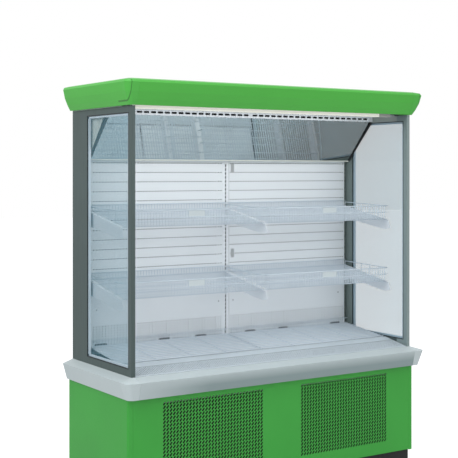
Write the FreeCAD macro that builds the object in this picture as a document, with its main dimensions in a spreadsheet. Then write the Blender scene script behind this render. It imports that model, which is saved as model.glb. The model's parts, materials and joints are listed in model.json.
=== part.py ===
import FreeCAD, Part
import math
import os
import re
import Sketcher

# Open multideck display fridge: a glass-ended, self-contained wall cabinet with two tiers of wire
# shelves over a sloping wire deck. Millimetres, +Z up, +X to the right seen from the front,
# +Y towards the back. The origin is on the floor, under the middle of the whole cabinet.
# Depths below are counted from the front face of the glass ends' front posts.

V = FreeCAD.Vector
doc = FreeCAD.newDocument("display_fridge")

# ---------------------------------------------------------------- driving dimensions

SIZES = {
    # the case above the bumper
    "case_width": 1688,          # over the outer faces of the two glass ends
    "case_depth": 625,           # front post to the back of the rear wall
    "deck_level": 640,           # floor to the foot of the glass ends
    "frame_height": 1240,        # height of a glass end
    "frame_thick": 20,           # a glass end, across the case
    "front_post_deep": 27.6,
    "rear_post_deep": 165,
    "top_rail_tall": 30,
    "bottom_rail_tall": 33,
    "glass_thick": 16,           # sealed double pane
    "groove_deep": 9,
    "glass_gap": 1,              # end play of the pane in its groove
    "groove_gap": 0.3,
    # the body below
    "body_reach": 19,            # body skin outside the glass end
    "body_bottom": 85,
    "body_top_drop": 18,         # skin's top flange under the deck level
    "body_return": 27,           # front return of a side panel
    "body_rear_flange": 30,
    "body_corner_radius": 10,
    "gauge": 1.5,                # folded sheet steel
    "fit_gap": 0.5,
    # bumper round the body
    "bumper_front_reach": 62,
    "bumper_side_reach": 54,
    "bumper_slope": 18,
    "bumper_front_foot": 41,
    "bumper_side_foot": 32,
    "bumper_tall": 97,
    "bumper_radius": 30,
    "bumper_foot_radius": 24,
    "bumper_top_radius": 4,
    "moulding_wall": 3,
    "corner_front_run": 17,      # corner piece along the front, from the post's outer face
    "corner_side_run": 5,        # corner piece along the side, behind the post's front face
    # cornice round the top
    "cornice_start": 2,          # underside above the top of the glass ends
    "cornice_tall": 121,
    "cornice_foot": 14,
    "cornice_reach": 52,
    "cornice_crown": 18,
    "cornice_radius": 28,
    "cornice_flange": 30,
    # insulated tub, rear wall and roof
    "wall_gap": 6,               # tub behind the front post's face
    "tub_wall": 40,
    "tub_inner_deep": 125,
    "tub_floor": 40,
    "drain_radius": 16,
    "drain_wall": 3,
    "drain_rim": 4,
    "drain_air_gap": 6,          # pipe's mouth over the melt water tray
    "drain_set_back": 24,        # drain behind the fan plate
    "liner_inset": 21,           # inner wall face inside the glass end's outer face
    "rear_wall_thick": 60,
    "roof_thick": 35,
    "roof_front": 98.5,
    # back duct
    "duct_deep": 48,             # back panels in front of the rear wall
    "panel_outer": 810,
    "upright_wide": 40,
    "upright_clear": 1,
    "panel_split": 355,          # joint between the upper and lower back panels, over the deck level
    "panel_top": 998,
    "panel_bottom": 30,
    "row_first": 380,
    "row_pitch": 50,
    "row_count": 13,
    "slots_per_row": 2,
    "row_slot_tall": 3.5,
    "slot_bridge": 12,
    "band_bottom": 66,
    "band_pitch": 26,
    "band_rows": 4,
    "band_slots": 4,
    "band_slot_tall": 7,
    "finger_slot_long": 46,
    "finger_slot_tall": 14,
    # mirror, trim and air outlet under the roof
    "outlet_front": 279,
    "outlet_plate": 2,
    "outlet_tall": 26,
    "outlet_lip": 14,
    "outlet_slots": 11,          # in each half
    "outlet_pitch": 71,
    "outlet_slot_long": 60,
    "outlet_slot_tall": 11,
    "mirror_top": 288,
    "mirror_stand_off": 33,      # mirror's foot in front of the back panels
    "mirror_foot_level": 1000,
    "mirror_plate": 4,
    "trim_tall": 6,
    "trim_lap": 2,               # trim tucked behind the back panels' face
    "end_wall_gap": 2,
    # lamp and night curtain
    "lamp_front": 62,
    "lamp_back": 93,
    "lamp_drop": 10,             # lamp's underside below the roof's underside
    "lamp_tall": 16,
    "lamp_ease": 3,
    "lamp_left_end": 806,
    "lamp_right_end": 683,
    "lamp_cap_long": 12,
    "lamp_driver_long": 77,      # driver housing at the right end
    "canopy_front": 2,
    "canopy_start": 4,
    "roll_radius": 20,
    "roll_depth": 32,
    "roll_rise": 46,             # roller's axis over the top of the glass ends
    "roll_half": 800,
    "roll_pin_radius": 5,
    "roll_pin_half": 813,
    "pin_gap": 0.3,
    "cloth_gap": 0.4,
    "cloth_thick": 0.6,
    "bar_half": 818,
    "bar_deep": 12,
    "bar_tall": 14,
    "bar_rise": 8,
    "bar_grip_deep": 9,
    "bar_grip_half": 60,
    # shelves
    "shelf_front_level": 674,    # shelf floor at its front edge, over the deck level
    "shelf_step": 338,           # upper shelf above the lower one
    "shelf_front": 145,
    "shelf_rear_gap": 9,         # shelf floor's rear edge to the back panels
    "shelf_rise": 67,
    "shelf_outer": 812,
    "shelf_split": 2,
    "wire": 4,
    "fence_tall": 80,
    "riser_tall": 34,
    "rib_pitch": 99,
    "bracket_web": 3,
    "bracket_lead": 3,           # bracket's tip in front of the shelf's front edge
    "bracket_flange": 14,
    "bracket_flange_thick": 2,
    "bracket_side": 816.5,
    "hook_slots": 19,
    "slots_per_step": 7,         # hook slots between the two tiers
    "hook_first": 83,
    "hook_slot_wide": 5,
    "hook_slot_tall": 18,
    "hook_play": 0.5,
    "hook_deep": 8,
    "hook_zone": 82,             # height of a bracket's root that carries hooks
    # deck
    "deck_front": 175,
    "deck_rear_gap": 27,
    "deck_seat": 30,
    "deck_rise": 38,
    "deck_riser_tall": 33,
    "deck_wire_count": 6,
    "ledge_lap": 10,
    "ledge_fold": 18,
    "rest_gap": 0.2,             # under a piece that lifts out
    "return_front": 1,
    "return_back": 171,
    "return_plate": 2,
    "return_slots": 9,
    "return_bridge": 14,
    "return_slot_deep": 44,
    # evaporator and its fans
    "fan_plate_front": 184,
    "fan_plate_flange": 18,
    "fan_side": 390,
    "fan_rise": 4,               # fan frames over the tub's floor
    "fan_frame_wide": 119,
    "fan_frame_deep": 38,
    "fan_bore_radius": 55,
    "fan_tip_radius": 51,
    "fan_hub_radius": 19,
    "fan_hub_deep": 22,
    "fan_motor_deep": 7,
    "fan_run_gap": 3,            # between a fan's motor and its hub
    "fan_strut_wide": 6,
    "fan_strut_thick": 4,
    "fan_blade_thick": 2,
    "label_long": 90,
    "label_tall": 26,
    "label_thick": 1.5,
    "label_place": 0.5,          # along a shelf from its inner end
    "coil_half": 600,
    "coil_front": 230,
    "coil_rear_gap": 47,
    "coil_tall": 105,
    "coil_fins": 15,
    "coil_base": 12,
    # machine compartment
    "base_tube": 40,
    "tube_wall": 2.5,
    "base_inset": 35,
    "foot_radius": 25,
    "foot_stem_radius": 6,
    "foot_pad_tall": 12,
    "foot_stem_up": 22,
    "foot_hex": 11,
    "foot_hex_tall": 9,
    "foot_side": 760,
    "foot_clear": 0.3,
    "kick_bottom": 14,
    "tray_lip": 14,
    "grille_top": 541,
    "grille_inner": 115,         # slotted field, from the middle
    "grille_outer": 680,
    "grille_field_top": 512,
    "grille_field_bottom": 150,
    "grille_columns": 8,
    "grille_rows": 5,
    "grille_slot_long": 70,
    "grille_slot_wide": 22,
    "grille_lean": 40,           # slots' lean from upright, in degrees
    "grille_fold": 4,
    "vent_inset": 13.5,          # machine room's back cover inside the rear edge
    "vent_half": 828,
    "vent_slots": 5,
    "vent_slot_long": 300,
    "vent_stack_pitch": 513,
    "vent_bridge": 26,
    "vent_margin": 60,
    "compressor_side": 470,
    "compressor_depth": 330,
    "compressor_radius": 88,
    "compressor_tall": 205,
    "weld_band": 4,
    "compressor_sole": 3,
    "bush_radius": 9,
    "bush_tall": 19,
    "condenser_inner": 140,
    "condenser_outer": 620,
    "condenser_front": 40,
    "condenser_deep": 66,
    "condenser_tall": 290,
    "condenser_fins": 12,
    "condenser_base": 14,
    "machine_fan_radius": 125,
    "shroud_deep": 30,
    "shroud_wall": 3,
    "tip_gap": 6,
    "motor_radius": 38,
    "motor_long": 62,
    "motor_bar": 6,
    "motor_plate": 4,
    "machine_hub_radius": 30,
    "pan_long": 420,
    "pan_deep": 230,
    "pan_tall": 55,
    "pan_wall": 3,
    "pan_back": 410,
    "pipe_radius": 5,
    "line_radius": 4,
    "capillary_radius": 3,
    "line_reach": 60,            # a line's run clear of the compressor and the condenser
    "line_start": 70,
    "line_drop": 25,
    "drier_side": 70,
    "drier_level": 120,
    "drier_long": 110,
    "drier_radius": 14,
    "bend_radius": 16,
    "bend_stub": 6,
    "coil_bends": 2,             # hairpins at each end of a coil
    "box_wide": 130,
    "box_deep": 110,
    "box_tall": 220,
    "box_side": 700,
    "rocker_wide": 14,
    "rocker_tall": 24,
    "rocker_deep": 10,
    "rocker_lean": 9,
    "gland_radius": 12,
    "gland_flange_deep": 4,
    "gland_nose_radius": 8.6,
    "gland_nose_long": 11,
    "gland_thread_radius": 7.2,
    "gland_nut_deep": 5,
    "gland_bore_radius": 4.3,
    "gland_side": 700,
    "gland_level": 210,
}

sizes = doc.addObject("Spreadsheet::Sheet", "sizes")
for row, (alias, value) in enumerate(SIZES.items(), start=1):
    sizes.set(f"A{row}", alias.replace("_", " "))
    sizes.set(f"B{row}", str(value))
    sizes.setAlias(f"B{row}", alias)
doc.recompute()

WORDS = re.compile(r"\b(" + "|".join(SIZES) + r")\b")

# Places that follow from the sheet, written in its words.
FRONT = "(bumper_front_reach - case_depth)/2"
HALF = "case_width/2"
BODY = "(case_width/2 + body_reach)"
INNER = "(case_width/2 - liner_inset)"
CASE_TOP = "(deck_level + frame_height)"
TUB_FLOOR = "(deck_level - tub_inner_deep)"
TUB_UNDER = "(deck_level - tub_inner_deep - tub_floor)"
FLANGE_TOP = "(deck_level - body_top_drop)"
FRAME_TOP = "(body_bottom + base_tube)"
ROLL_LEVEL = "(deck_level + frame_height + roll_rise)"
BAR_FOOT = "(deck_level + frame_height + bar_rise)"
CORNICE_TOP = "(deck_level + frame_height + cornice_start + cornice_tall)"
OUTLET_FOOT = "(deck_level + frame_height - outlet_tall)"
REAR_POST = "(case_depth - rear_post_deep)"
PANEL_FRONT = "(case_depth - rear_wall_thick - duct_deep)"
MIRROR_FOOT = f"({PANEL_FRONT} - mirror_stand_off)"
SHELF_BACK = f"({PANEL_FRONT} - shelf_rear_gap)"
DECK_BACK = f"({PANEL_FRONT} - deck_rear_gap)"
COIL_BACK = f"({PANEL_FRONT} - coil_rear_gap)"
VENT_FRONT = "(case_depth - vent_inset)"
SIDES = (("left", -1), ("right", 1))


def num(text):
    """The value of an expression in the sheet's words."""
    return float(sizes.evalExpression(str(text)))


def bind(thing, prop, text):
    thing.setExpression(prop, WORDS.sub(r"sizes.\1", str(text)))


def across(side, low, high):
    """A span of X on one side of the middle, low end first."""
    if side > 0:
        return (low, high)
    return (f"-({high})", f"-({low})")


# ---------------------------------------------------------------- ways of making a piece

subparts = {}


def keep(name, thing):
    thing.Label = name
    subparts[name] = thing
    return thing


def box(name, x, y, z):
    """A block between two expressions each way; y is a depth from the posts' front face."""
    thing = doc.addObject("Part::Box", name)
    for prop, axis, (low, high) in (("Length", "x", x), ("Width", "y", y), ("Height", "z", z)):
        bind(thing, prop, f"({high}) - ({low})")
        shift = f"{FRONT} + " if axis == "y" else ""
        bind(thing, f"Placement.Base.{axis}", f"{shift}({low})")
    return thing


def round_bar(name, radius, length, centre, along="z", sides=16):
    """A round bar as a many-sided prism from a centre point, its axis along +X, +Y or +Z."""
    thing = doc.addObject("Part::Prism", name)
    thing.Polygon = sides
    bind(thing, "Circumradius", radius)
    bind(thing, "Height", length)
    turns = {"x": (V(0, 1, 0), 90), "y": (V(1, 0, 0), -90), "z": (V(0, 0, 1), 0)}
    thing.Placement = FreeCAD.Placement(V(), FreeCAD.Rotation(*turns[along]))
    for axis, place in zip("xyz", centre):
        shift = f"{FRONT} + " if axis == "y" else ""
        bind(thing, f"Placement.Base.{axis}", f"{shift}({place})")
    return thing


def joined(kind, name, things):
    thing = doc.addObject(kind, name)
    if kind == "Part::Compound":
        thing.Links = things
    else:
        thing.Shapes = things
    return thing


def cut(name, base, tools):
    thing = doc.addObject("Part::Cut", name)
    thing.Base = base
    thing.Tool = tools[0] if len(tools) == 1 else joined("Part::MultiFuse", name + "_tools", tools)
    return thing


def feature(name, shape):
    """A piece whose shape is worked out below from the sheet's values."""
    thing = doc.addObject("Part::Feature", name)
    thing.Shape = shape
    return thing


def extrusion(name, plane, outline, low, high):
    """A section drawn on one of the body's own planes and padded between two expressions.
    YZ sections run along X, XY ones along Z; their y is a depth from the posts' front face."""
    body = doc.addObject("PartDesign::Body", name)
    base = next(f for f in body.Origin.OriginFeatures if f.Role == plane + "_Plane")
    sketch = body.newObject("Sketcher::SketchObject", name + "_section")
    sketch.AttachmentSupport = [(base, "")]
    sketch.MapMode = "FlatFace"
    depth_first = plane == "YZ"
    bound = []
    for first, second in outline:
        bound.append((f"{FRONT} + ({first})", second) if depth_first else (first, f"{FRONT} + ({second})"))
    places = [V(num(a), num(b), 0) for a, b in bound]
    count = len(places)
    for i in range(count):
        sketch.addGeometry(Part.LineSegment(places[i], places[(i + 1) % count]))
    for i in range(count):
        sketch.addConstraint(Sketcher.Constraint("Coincident", i, 2, (i + 1) % count, 1))
    for i, pair in enumerate(bound):
        for kind, text in zip(("DistanceX", "DistanceY"), pair):
            index = sketch.addConstraint(Sketcher.Constraint(kind, -1, 1, i, 1, num(text)))
            bind(sketch, f"Constraints[{index}]", text)
    pad = body.newObject("PartDesign::Pad", name + "_run")
    pad.Profile = sketch
    bind(pad, "Length", f"({high}) - ({low})")
    bind(body, "Placement.Base." + ("x" if depth_first else "z"), low)
    return body


def rounded(body, name, radius, wanted):
    """Rounds the edges of a body that wanted(edge) picks."""
    doc.recompute()
    before = body.Tip
    edges = [f"Edge{i}" for i, e in enumerate(before.Shape.Edges, start=1) if wanted(e)]
    fillet = body.newObject("PartDesign::Fillet", name)
    fillet.Base = (before, edges)
    bind(fillet, "Radius", radius)
    body.Tip = fillet
    return body


def upright_edge(x, y, slack=0.6):
    """Picks the vertical edges near one plan point."""
    def wanted(edge):
        first, last = edge.Vertexes[0].Point, edge.Vertexes[-1].Point
        is_upright = abs(first.z - last.z) > abs(first.x - last.x) + abs(first.y - last.y)
        return is_upright and abs(first.x - x) < slack and abs(first.y - y) < slack
    return wanted


def polygon(points):
    return Part.makePolygon(list(points) + [points[0]])


def plate(origin, along, up, outline, holes, thick):
    """A flat plate with openings: outline and holes are lists of (u, v) on the two unit vectors."""
    def lift(points):
        return polygon([origin + along * u + up * v for u, v in points])
    face = Part.makeFace([lift(outline)] + [lift(hole) for hole in holes], "Part::FaceMakerBullseye")
    return face.extrude(along.cross(up) * thick)


def oblong(low_u, low_v, high_u, high_v):
    return [(low_u, low_v), (high_u, low_v), (high_u, high_v), (low_u, high_v)]


def ring_at(centre, along, radius, sides):
    """A regular outline square to a direction."""
    side = V(0, 1, 0) if abs(along.x) > 0.5 else V(1, 0, 0)
    up = along.cross(side)
    turns = [2 * math.pi * index / sides for index in range(sides)]
    return polygon([centre + side * (radius * math.cos(t)) + up * (radius * math.sin(t)) for t in turns])


def rod(centre, along, radius, length, sides=16):
    """A round piece worked out in numbers, as a many-sided prism."""
    return Part.Face(ring_at(centre, along, radius, sides)).extrude(along * length)


def turned(profile, sides):
    """A turned piece about Z through (radius, height) pairs, in flat facets, closed at both ends."""
    turns = [2 * math.pi * index / sides for index in range(sides)]
    rings = [[V(r * math.cos(t), r * math.sin(t), z) for t in turns] for r, z in profile]
    faces = [Part.Face(polygon(rings[0])), Part.Face(polygon(rings[-1]))]
    for lower, upper in zip(rings, rings[1:]):
        for index in range(sides):
            after = (index + 1) % sides
            faces.append(Part.Face(polygon([lower[index], lower[after], upper[after], upper[index]])))
    solid = Part.Solid(Part.makeShell(faces))
    if solid.Volume < 0:
        solid.reverse()
    return solid


def eased_slot(u, v, long_side, tall):
    """A slot about a point with its four corners taken off."""
    a, b, ease = long_side / 2, tall / 2, tall * 0.3
    return [(u - a, v - b + ease), (u - a + ease, v - b), (u + a - ease, v - b), (u + a, v - b + ease),
            (u + a, v + b - ease), (u + a - ease, v + b), (u - a + ease, v + b), (u - a, v + b - ease)]


def divided(low, high, count, bridge):
    """Equal openings between low and high with a bridge round each, as (start, end) pairs."""
    step = (high - low - bridge) / count
    return [(low + bridge + i * step, low + (i + 1) * step) for i in range(count)]


def depth(text):
    """A depth from the posts' front face as a Y coordinate."""
    return num(f"{FRONT} + ({text})")


# ---------------------------------------------------------------- mouldings

def outline_at(side_reach, front_reach, radius, level, back, plain=False):
    """Plan outline of a moulding at one level: a rectangle with its two front corners rounded, or with
    each corner in two straight cuts where it doesn't show."""
    half = num(HALF) + side_reach
    front = depth(0) - front_reach
    r = max(radius, 0.5)
    k = r * (1 - math.sqrt(0.5))
    p = [
        V(half, back, level), V(half, front + r, level), V(half - k, front + k, level),
        V(half - r, front, level), V(-half + r, front, level), V(-half + k, front + k, level),
        V(-half, front + r, level), V(-half, back, level),
    ]
    if plain:
        return polygon(p)
    edges = [
        Part.LineSegment(p[0], p[1]).toShape(),
        Part.Arc(p[1], p[2], p[3]).toShape(),
        Part.LineSegment(p[3], p[4]).toShape(),
        Part.Arc(p[4], p[5], p[6]).toShape(),
        Part.LineSegment(p[6], p[7]).toShape(),
        Part.LineSegment(p[7], p[0]).toShape(),
    ]
    return Part.Wire(edges)


def block(x, y, z):
    """A plain block between numbers, for cutting."""
    return Part.makeBox(x[1] - x[0], y[1] - y[0], z[1] - z[0], V(x[0], y[0], z[0]))


def skin_of(levels):
    """The hollow of a moulding: its outline drawn in by the wall at each level."""
    wall = num("moulding_wall")
    back = depth("case_depth") - wall
    drawn_in = []
    for side_reach, front_reach, radius, level in levels:
        drawn_in.append(outline_at(side_reach - wall, front_reach - wall, radius - wall, level, back, True))
    return Part.makeLoft(drawn_in, True, True)


def moulding_block(levels):
    back = depth("case_depth")
    return Part.makeLoft([outline_at(s, f, r, z, back) for s, f, r, z in levels], True, True)


def split_moulding(name, ring, low, high):
    """Cuts a ring into its front, sides and corner pieces at the seams."""
    far = num(BODY) + num("bumper_side_reach") + 50
    seam_x = num(HALF) - num("corner_front_run")
    seam_y = depth("corner_side_run")
    front, back = depth(-200), depth("case_depth") + 10
    gap = num("fit_gap") / 2
    keep(name + "_front", feature(name + "_front", ring.common(
        block((-seam_x + gap, seam_x - gap), (front, back), (low, high)))))
    sides, corners = [], []
    for _, side in SIDES:
        outer = sorted((side * (seam_x + gap), side * far))
        corners.append(ring.common(block(outer, (front, seam_y - gap), (low, high))))
        sides.append(ring.common(block(outer, (seam_y + gap, back), (low, high))))
    keep(name + "_sides", feature(name + "_sides", Part.makeCompound(sides)))
    keep(name + "_corners", feature(name + "_corners", Part.makeCompound(corners)))


def bumper():
    top = num("deck_level")
    edge = top - num("bumper_slope")
    foot = top - num("bumper_tall")
    wall = num("moulding_wall")
    back = depth("case_depth")
    levels = [
        (num("bumper_side_foot"), num("bumper_front_foot"), num("bumper_foot_radius"), foot),
        (num("bumper_side_reach"), num("bumper_front_reach"), num("bumper_radius"), edge),
        (0, 0, num("bumper_top_radius"), top),
    ]
    hollow_levels = [
        (levels[0][0], levels[0][1], levels[0][2], foot + wall),
        (levels[1][0], levels[1][1], levels[1][2], edge - wall / 2),
        (wall, wall, levels[2][2], top - wall),
    ]
    half, body = num(HALF), num(BODY)
    gap = num("fit_gap")
    leg_foot = num(FLANGE_TOP)
    leg = block((-half - wall, half + wall), (depth(0) - wall, back), (leg_foot, top))
    hollow = skin_of(hollow_levels).cut(leg)
    core = block((-half, half), (depth(0), back + 1), (leg_foot - 1, top + 1))
    body_room = block((-body - gap, body + gap), (depth(0) - gap, back + 1), (foot - 1, leg_foot))
    ring = moulding_block(levels).cut(hollow).cut(core).cut(body_room)
    split_moulding("bumper", ring, foot - 1, top + 1)


def cornice():
    start = num(CASE_TOP) + num("cornice_start")
    tall = num("cornice_tall")
    foot, reach, crown = num("cornice_foot"), num("cornice_reach"), num("cornice_crown")
    radius, wall = num("cornice_radius"), num("moulding_wall")
    bulge = reach - foot
    # share of the height, share of the way from the foot's reach to the full reach
    face = [(0, 0), (0.22, 0.38), (0.5, 0.75), (0.85, 1)]
    levels = [(foot + bulge * b, start + tall * h) for h, b in face]
    levels.append((reach - 0.18 * (reach - crown), start + tall * 0.94))
    levels.append((crown, start + tall))
    spread = [(r, r, radius * (0.6 + 0.4 * r / reach), z) for r, z in levels]
    hollow_levels = [spread[0][:3] + (start + wall,)]
    hollow_levels += spread[1:-1]
    hollow_levels[-1] = spread[-2][:3] + (spread[-2][3] - wall / 2,)
    hollow_levels.append(spread[-1][:3] + (start + tall - wall,))
    hollow = skin_of(hollow_levels)
    half, back, gap = num(HALF), depth("case_depth"), num("fit_gap")
    room = block((-half - gap, half + gap), (depth(0) - gap, back + 1), (start - 1, start + tall - wall))
    inset = half - num("corner_front_run")
    top_open = block((-inset, inset), (depth("cornice_flange"), back + 1), (start, start + tall + 1))
    ring = moulding_block(spread).cut(hollow).cut(room).cut(top_open)
    split_moulding("cornice", ring, start - 1, start + tall + 1)


# ---------------------------------------------------------------- base and body

def base_frame():
    half = f"({BODY} - gauge - fit_gap)"
    tubes = []
    holes = []
    rows = (("front", "base_inset"), ("rear", "(case_depth - base_inset - base_tube)"))
    for place, start in rows:
        outer = box(f"base_{place}_outer", (f"-{half}", half), (start, f"{start} + base_tube"),
                    ("body_bottom", FRAME_TOP))
        inner = box(f"base_{place}_inner", (f"-{half} - 1", f"{half} + 1"),
                    (f"{start} + tube_wall", f"{start} + base_tube - tube_wall"),
                    ("body_bottom + tube_wall", f"{FRAME_TOP} - tube_wall"))
        tubes.append(cut(f"base_{place}_tube", outer, [inner]))
        for end, side in SIDES:
            at = (f"{side}*foot_side", f"{start} + base_tube/2", "body_bottom - tube_wall")
            holes.append(round_bar(f"foot_hole_{place}_{end}", "foot_stem_radius + fit_gap",
                                   "3*tube_wall", at, sides=8))
    for index in (-1, 0, 1):
        middle = f"({index}*({half} - base_tube/2))"
        span_y = ("base_inset + base_tube", "case_depth - base_inset - base_tube")
        channel = box(f"base_cross_{index + 2}_outer",
                      (f"{middle} - base_tube/2", f"{middle} + base_tube/2"),
                      span_y, ("body_bottom", FRAME_TOP))
        hollow = box(f"base_cross_{index + 2}_inner",
                     (f"{middle} - base_tube/2 + tube_wall", f"{middle} + base_tube/2 - tube_wall"),
                     span_y, ("body_bottom - 1", f"{FRAME_TOP} - tube_wall"))
        tubes.append(cut(f"base_cross_{index + 2}", channel, [hollow]))
    welded = joined("Part::MultiFuse", "base_welded", tubes)
    keep("base_frame", cut("base_frame", welded, holes))


def levelling_feet():
    for place, start in (("front", "base_inset"), ("rear", "(case_depth - base_inset - base_tube)")):
        for end, side in SIDES:
            name = f"levelling_foot_{place}_{end}"
            at = (f"{side}*foot_side", f"{start} + base_tube/2")
            pad = round_bar(name + "_pad", "foot_radius", "foot_pad_tall", at + ("0",))
            stem = round_bar(name + "_stem", "foot_stem_radius", "body_bottom + foot_stem_up",
                             at + ("0",), sides=8)
            nut = doc.addObject("Part::Prism", name + "_nut")
            nut.Polygon = 6
            bind(nut, "Circumradius", "foot_hex")
            bind(nut, "Height", "foot_hex_tall")
            bind(nut, "Placement.Base.x", at[0])
            bind(nut, "Placement.Base.y", f"{FRONT} + {at[1]}")
            bind(nut, "Placement.Base.z", "body_bottom - foot_clear - foot_hex_tall")
            keep(name, joined("Part::MultiFuse", name, [pad, stem, nut]))


def base_tray():
    low, high = "base_inset + gauge", VENT_FRONT
    z = FRAME_TOP
    outline = [
        (low, z), (high, z), (high, f"{z} + tray_lip"), (f"{high} - gauge", f"{z} + tray_lip"),
        (f"{high} - gauge", f"{z} + gauge"), (f"{low} + gauge", f"{z} + gauge"),
        (f"{low} + gauge", f"{z} + tray_lip"), (low, f"{z} + tray_lip"),
    ]
    half = f"({BODY} - gauge - fit_gap)"
    keep("base_tray", extrusion("base_tray", "YZ", outline, f"-{half}", half))


def kick_plate():
    half = f"({BODY} - gauge - fit_gap)"
    keep("kick_plate", box("kick_plate", (f"-{half}", half), ("base_inset - gauge", "base_inset"),
                           ("kick_bottom", FRAME_TOP)))


def body_panels():
    for end, side in SIDES:
        name = f"body_panel_{end}"
        s = f"{side}*"
        outer, inner = f"{s}{BODY}", f"{s}({BODY} - gauge)"
        outline = [
            (outer, "0"), (outer, "case_depth"), (f"{s}({BODY} - body_rear_flange)", "case_depth"),
            (f"{s}({BODY} - body_rear_flange)", "case_depth - gauge"), (inner, "case_depth - gauge"),
            (inner, "gauge"), (f"{s}({BODY} - body_return)", "gauge"), (f"{s}({BODY} - body_return)", "0"),
        ]
        wall = extrusion(name + "_wall", "XY", outline, "body_bottom", f"{FLANGE_TOP} - gauge")
        rounded(wall, name + "_bend", "body_corner_radius", upright_edge(num(outer), depth(0)))
        rounded(wall, name + "_bend_inside", "body_corner_radius - gauge",
                upright_edge(num(inner), depth("gauge")))
        flange = box(name + "_flange", across(side, f"{HALF} + fit_gap", f"{BODY} - body_corner_radius/2"),
                     ("body_corner_radius/2", "case_depth"), (f"{FLANGE_TOP} - gauge", FLANGE_TOP))
        edge = box(name + "_edge", across(side, f"{BODY} - body_corner_radius/2", BODY),
                   ("body_corner_radius", "case_depth"), (f"{FLANGE_TOP} - gauge", FLANGE_TOP))
        keep(name, joined("Part::MultiFuse", name, [wall, flange, edge]))


def front_rail():
    foot, top = "grille_field_top - 4", FLANGE_TOP
    lip, web = "-moulding_wall", "wall_gap - gauge"
    outline = [
        (lip, f"{top} - gauge"), (web, f"{top} - gauge"), (web, foot), ("wall_gap", foot),
        ("wall_gap", top), (lip, top),
    ]
    half = f"({BODY} - body_return - gauge - 3*fit_gap)"
    keep("front_rail", extrusion("front_rail", "YZ", outline, f"-{half}", half))


def front_grille_panel():
    """The front cover: a folded sheet with two fields of leaning slots, in rows and columns."""
    half = num(f"{BODY} - body_return - fit_gap")
    low, high = num("body_bottom") + 2 * num("gauge"), num("grille_top")
    columns, rows = int(num("grille_columns")), int(num("grille_rows"))
    field_low, field_high = num("grille_field_bottom"), num("grille_field_top")
    inner, outer = num("grille_inner"), num("grille_outer")
    step_x = (outer - inner) / columns
    step_z = (field_high - field_low) / rows
    lean = math.radians(num("grille_lean"))
    along = V(math.sin(lean), math.cos(lean), 0) * (num("grille_slot_long") / 2)
    beside = V(math.cos(lean), -math.sin(lean), 0) * (num("grille_slot_wide") / 2)
    corners = [-along - beside, -along + beside, along + beside, along - beside]
    holes = []
    for _, side in SIDES:
        start = inner if side > 0 else -outer
        for row in range(rows):
            for column in range(columns):
                middle = V(start + step_x * (column + 0.5), field_low + step_z * (row + 0.5), 0)
                holes.append([((middle + c).x, (middle + c).y) for c in corners])
    gauge = num("gauge")
    y = depth("gauge")
    face = plate(V(0, y, 0), V(1, 0, 0), V(0, 0, 1), oblong(-half, low, half, high), holes, gauge)
    fold = num("grille_fold")
    folds = [
        block((-half, -half + gauge), (y, y + fold), (low, high)),
        block((half - gauge, half), (y, y + fold), (low, high)),
        block((-half + gauge, half - gauge), (y, y + fold), (low, low + gauge)),
    ]
    keep("front_grille_panel", feature("front_grille_panel", face.multiFuse(folds).removeSplitter()))


def rear_vent_panel():
    """The machine room's back cover, with three stacks of long slots."""
    half, gauge = num("vent_half"), num("gauge")
    low, high = num(FRAME_TOP) + gauge, num(TUB_UNDER) - num("fit_gap")
    count = int(num("vent_slots"))
    margin, reach = num("vent_margin"), num("vent_slot_long") / 2
    holes = []
    for index in (-1, 0, 1):
        x = index * num("vent_stack_pitch")
        for start, end in divided(low + margin, high - margin, count, num("vent_bridge")):
            holes.append(oblong(x - reach, start, x + reach, end))
    cover = plate(V(0, depth(VENT_FRONT) + gauge, 0), V(1, 0, 0), V(0, 0, 1),
                  oblong(-half, low, half, high), holes, gauge)
    hole = rod(V(-num("gland_side"), depth(VENT_FRONT) - gauge, num("gland_level")), V(0, 1, 0),
               num("gland_thread_radius + fit_gap"), 4 * gauge)
    keep("rear_vent_panel", feature("rear_vent_panel", cover.cut(hole)))


def cable_gland():
    """A screwed gland through the back cover: flange and nose outside, locknut inside, open bore."""
    def piece(name, radius, length, start):
        return round_bar(name, radius, length, ("-gland_side", start, "gland_level"), "y", 12)
    outside = f"{VENT_FRONT} + gauge"
    solids = [
        piece("gland_flange", "gland_radius", "gland_flange_deep", outside),
        piece("gland_nose", "gland_nose_radius", "gland_nose_long", outside),
        piece("gland_thread", "gland_thread_radius", "gauge + 2*gland_nut_deep",
              f"{VENT_FRONT} - 2*gland_nut_deep"),
        piece("gland_nut", "gland_radius", "gland_nut_deep", f"{VENT_FRONT} - gland_nut_deep"),
    ]
    bore = piece("gland_bore", "gland_bore_radius", "gauge + 3*gland_nut_deep + gland_nose_long + 1",
                 f"{VENT_FRONT} - 3*gland_nut_deep")
    keep("cable_gland", cut("cable_gland", joined("Part::MultiFuse", "gland_body", solids), [bore]))


# ---------------------------------------------------------------- cold tub and what it holds

def insulated_tub():
    half = f"({BODY} - gauge - 3*fit_gap)"
    lower = box("tub_lower", (f"-{half}", half), ("wall_gap", "case_depth - gauge - fit_gap"),
                (TUB_UNDER, f"{FLANGE_TOP} - gauge"))
    upper = box("tub_upper", (f"-({HALF})", HALF), ("wall_gap", "case_depth - gauge - fit_gap"),
                (f"{FLANGE_TOP} - gauge", "deck_level"))
    block_body = joined("Part::MultiFuse", "tub_block", [lower, upper])
    hollow = box("tub_hollow", (f"-{INNER}", INNER), ("wall_gap + tub_wall", "case_depth + 1"),
                 (TUB_FLOOR, "deck_level + 1"))
    drain = round_bar("tub_drain", "drain_radius", "tub_floor + 4",
                     ("0", "fan_plate_front + drain_set_back", f"{TUB_UNDER} - 2"))
    keep("insulated_tub", cut("insulated_tub", block_body, [hollow, drain]))


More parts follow.
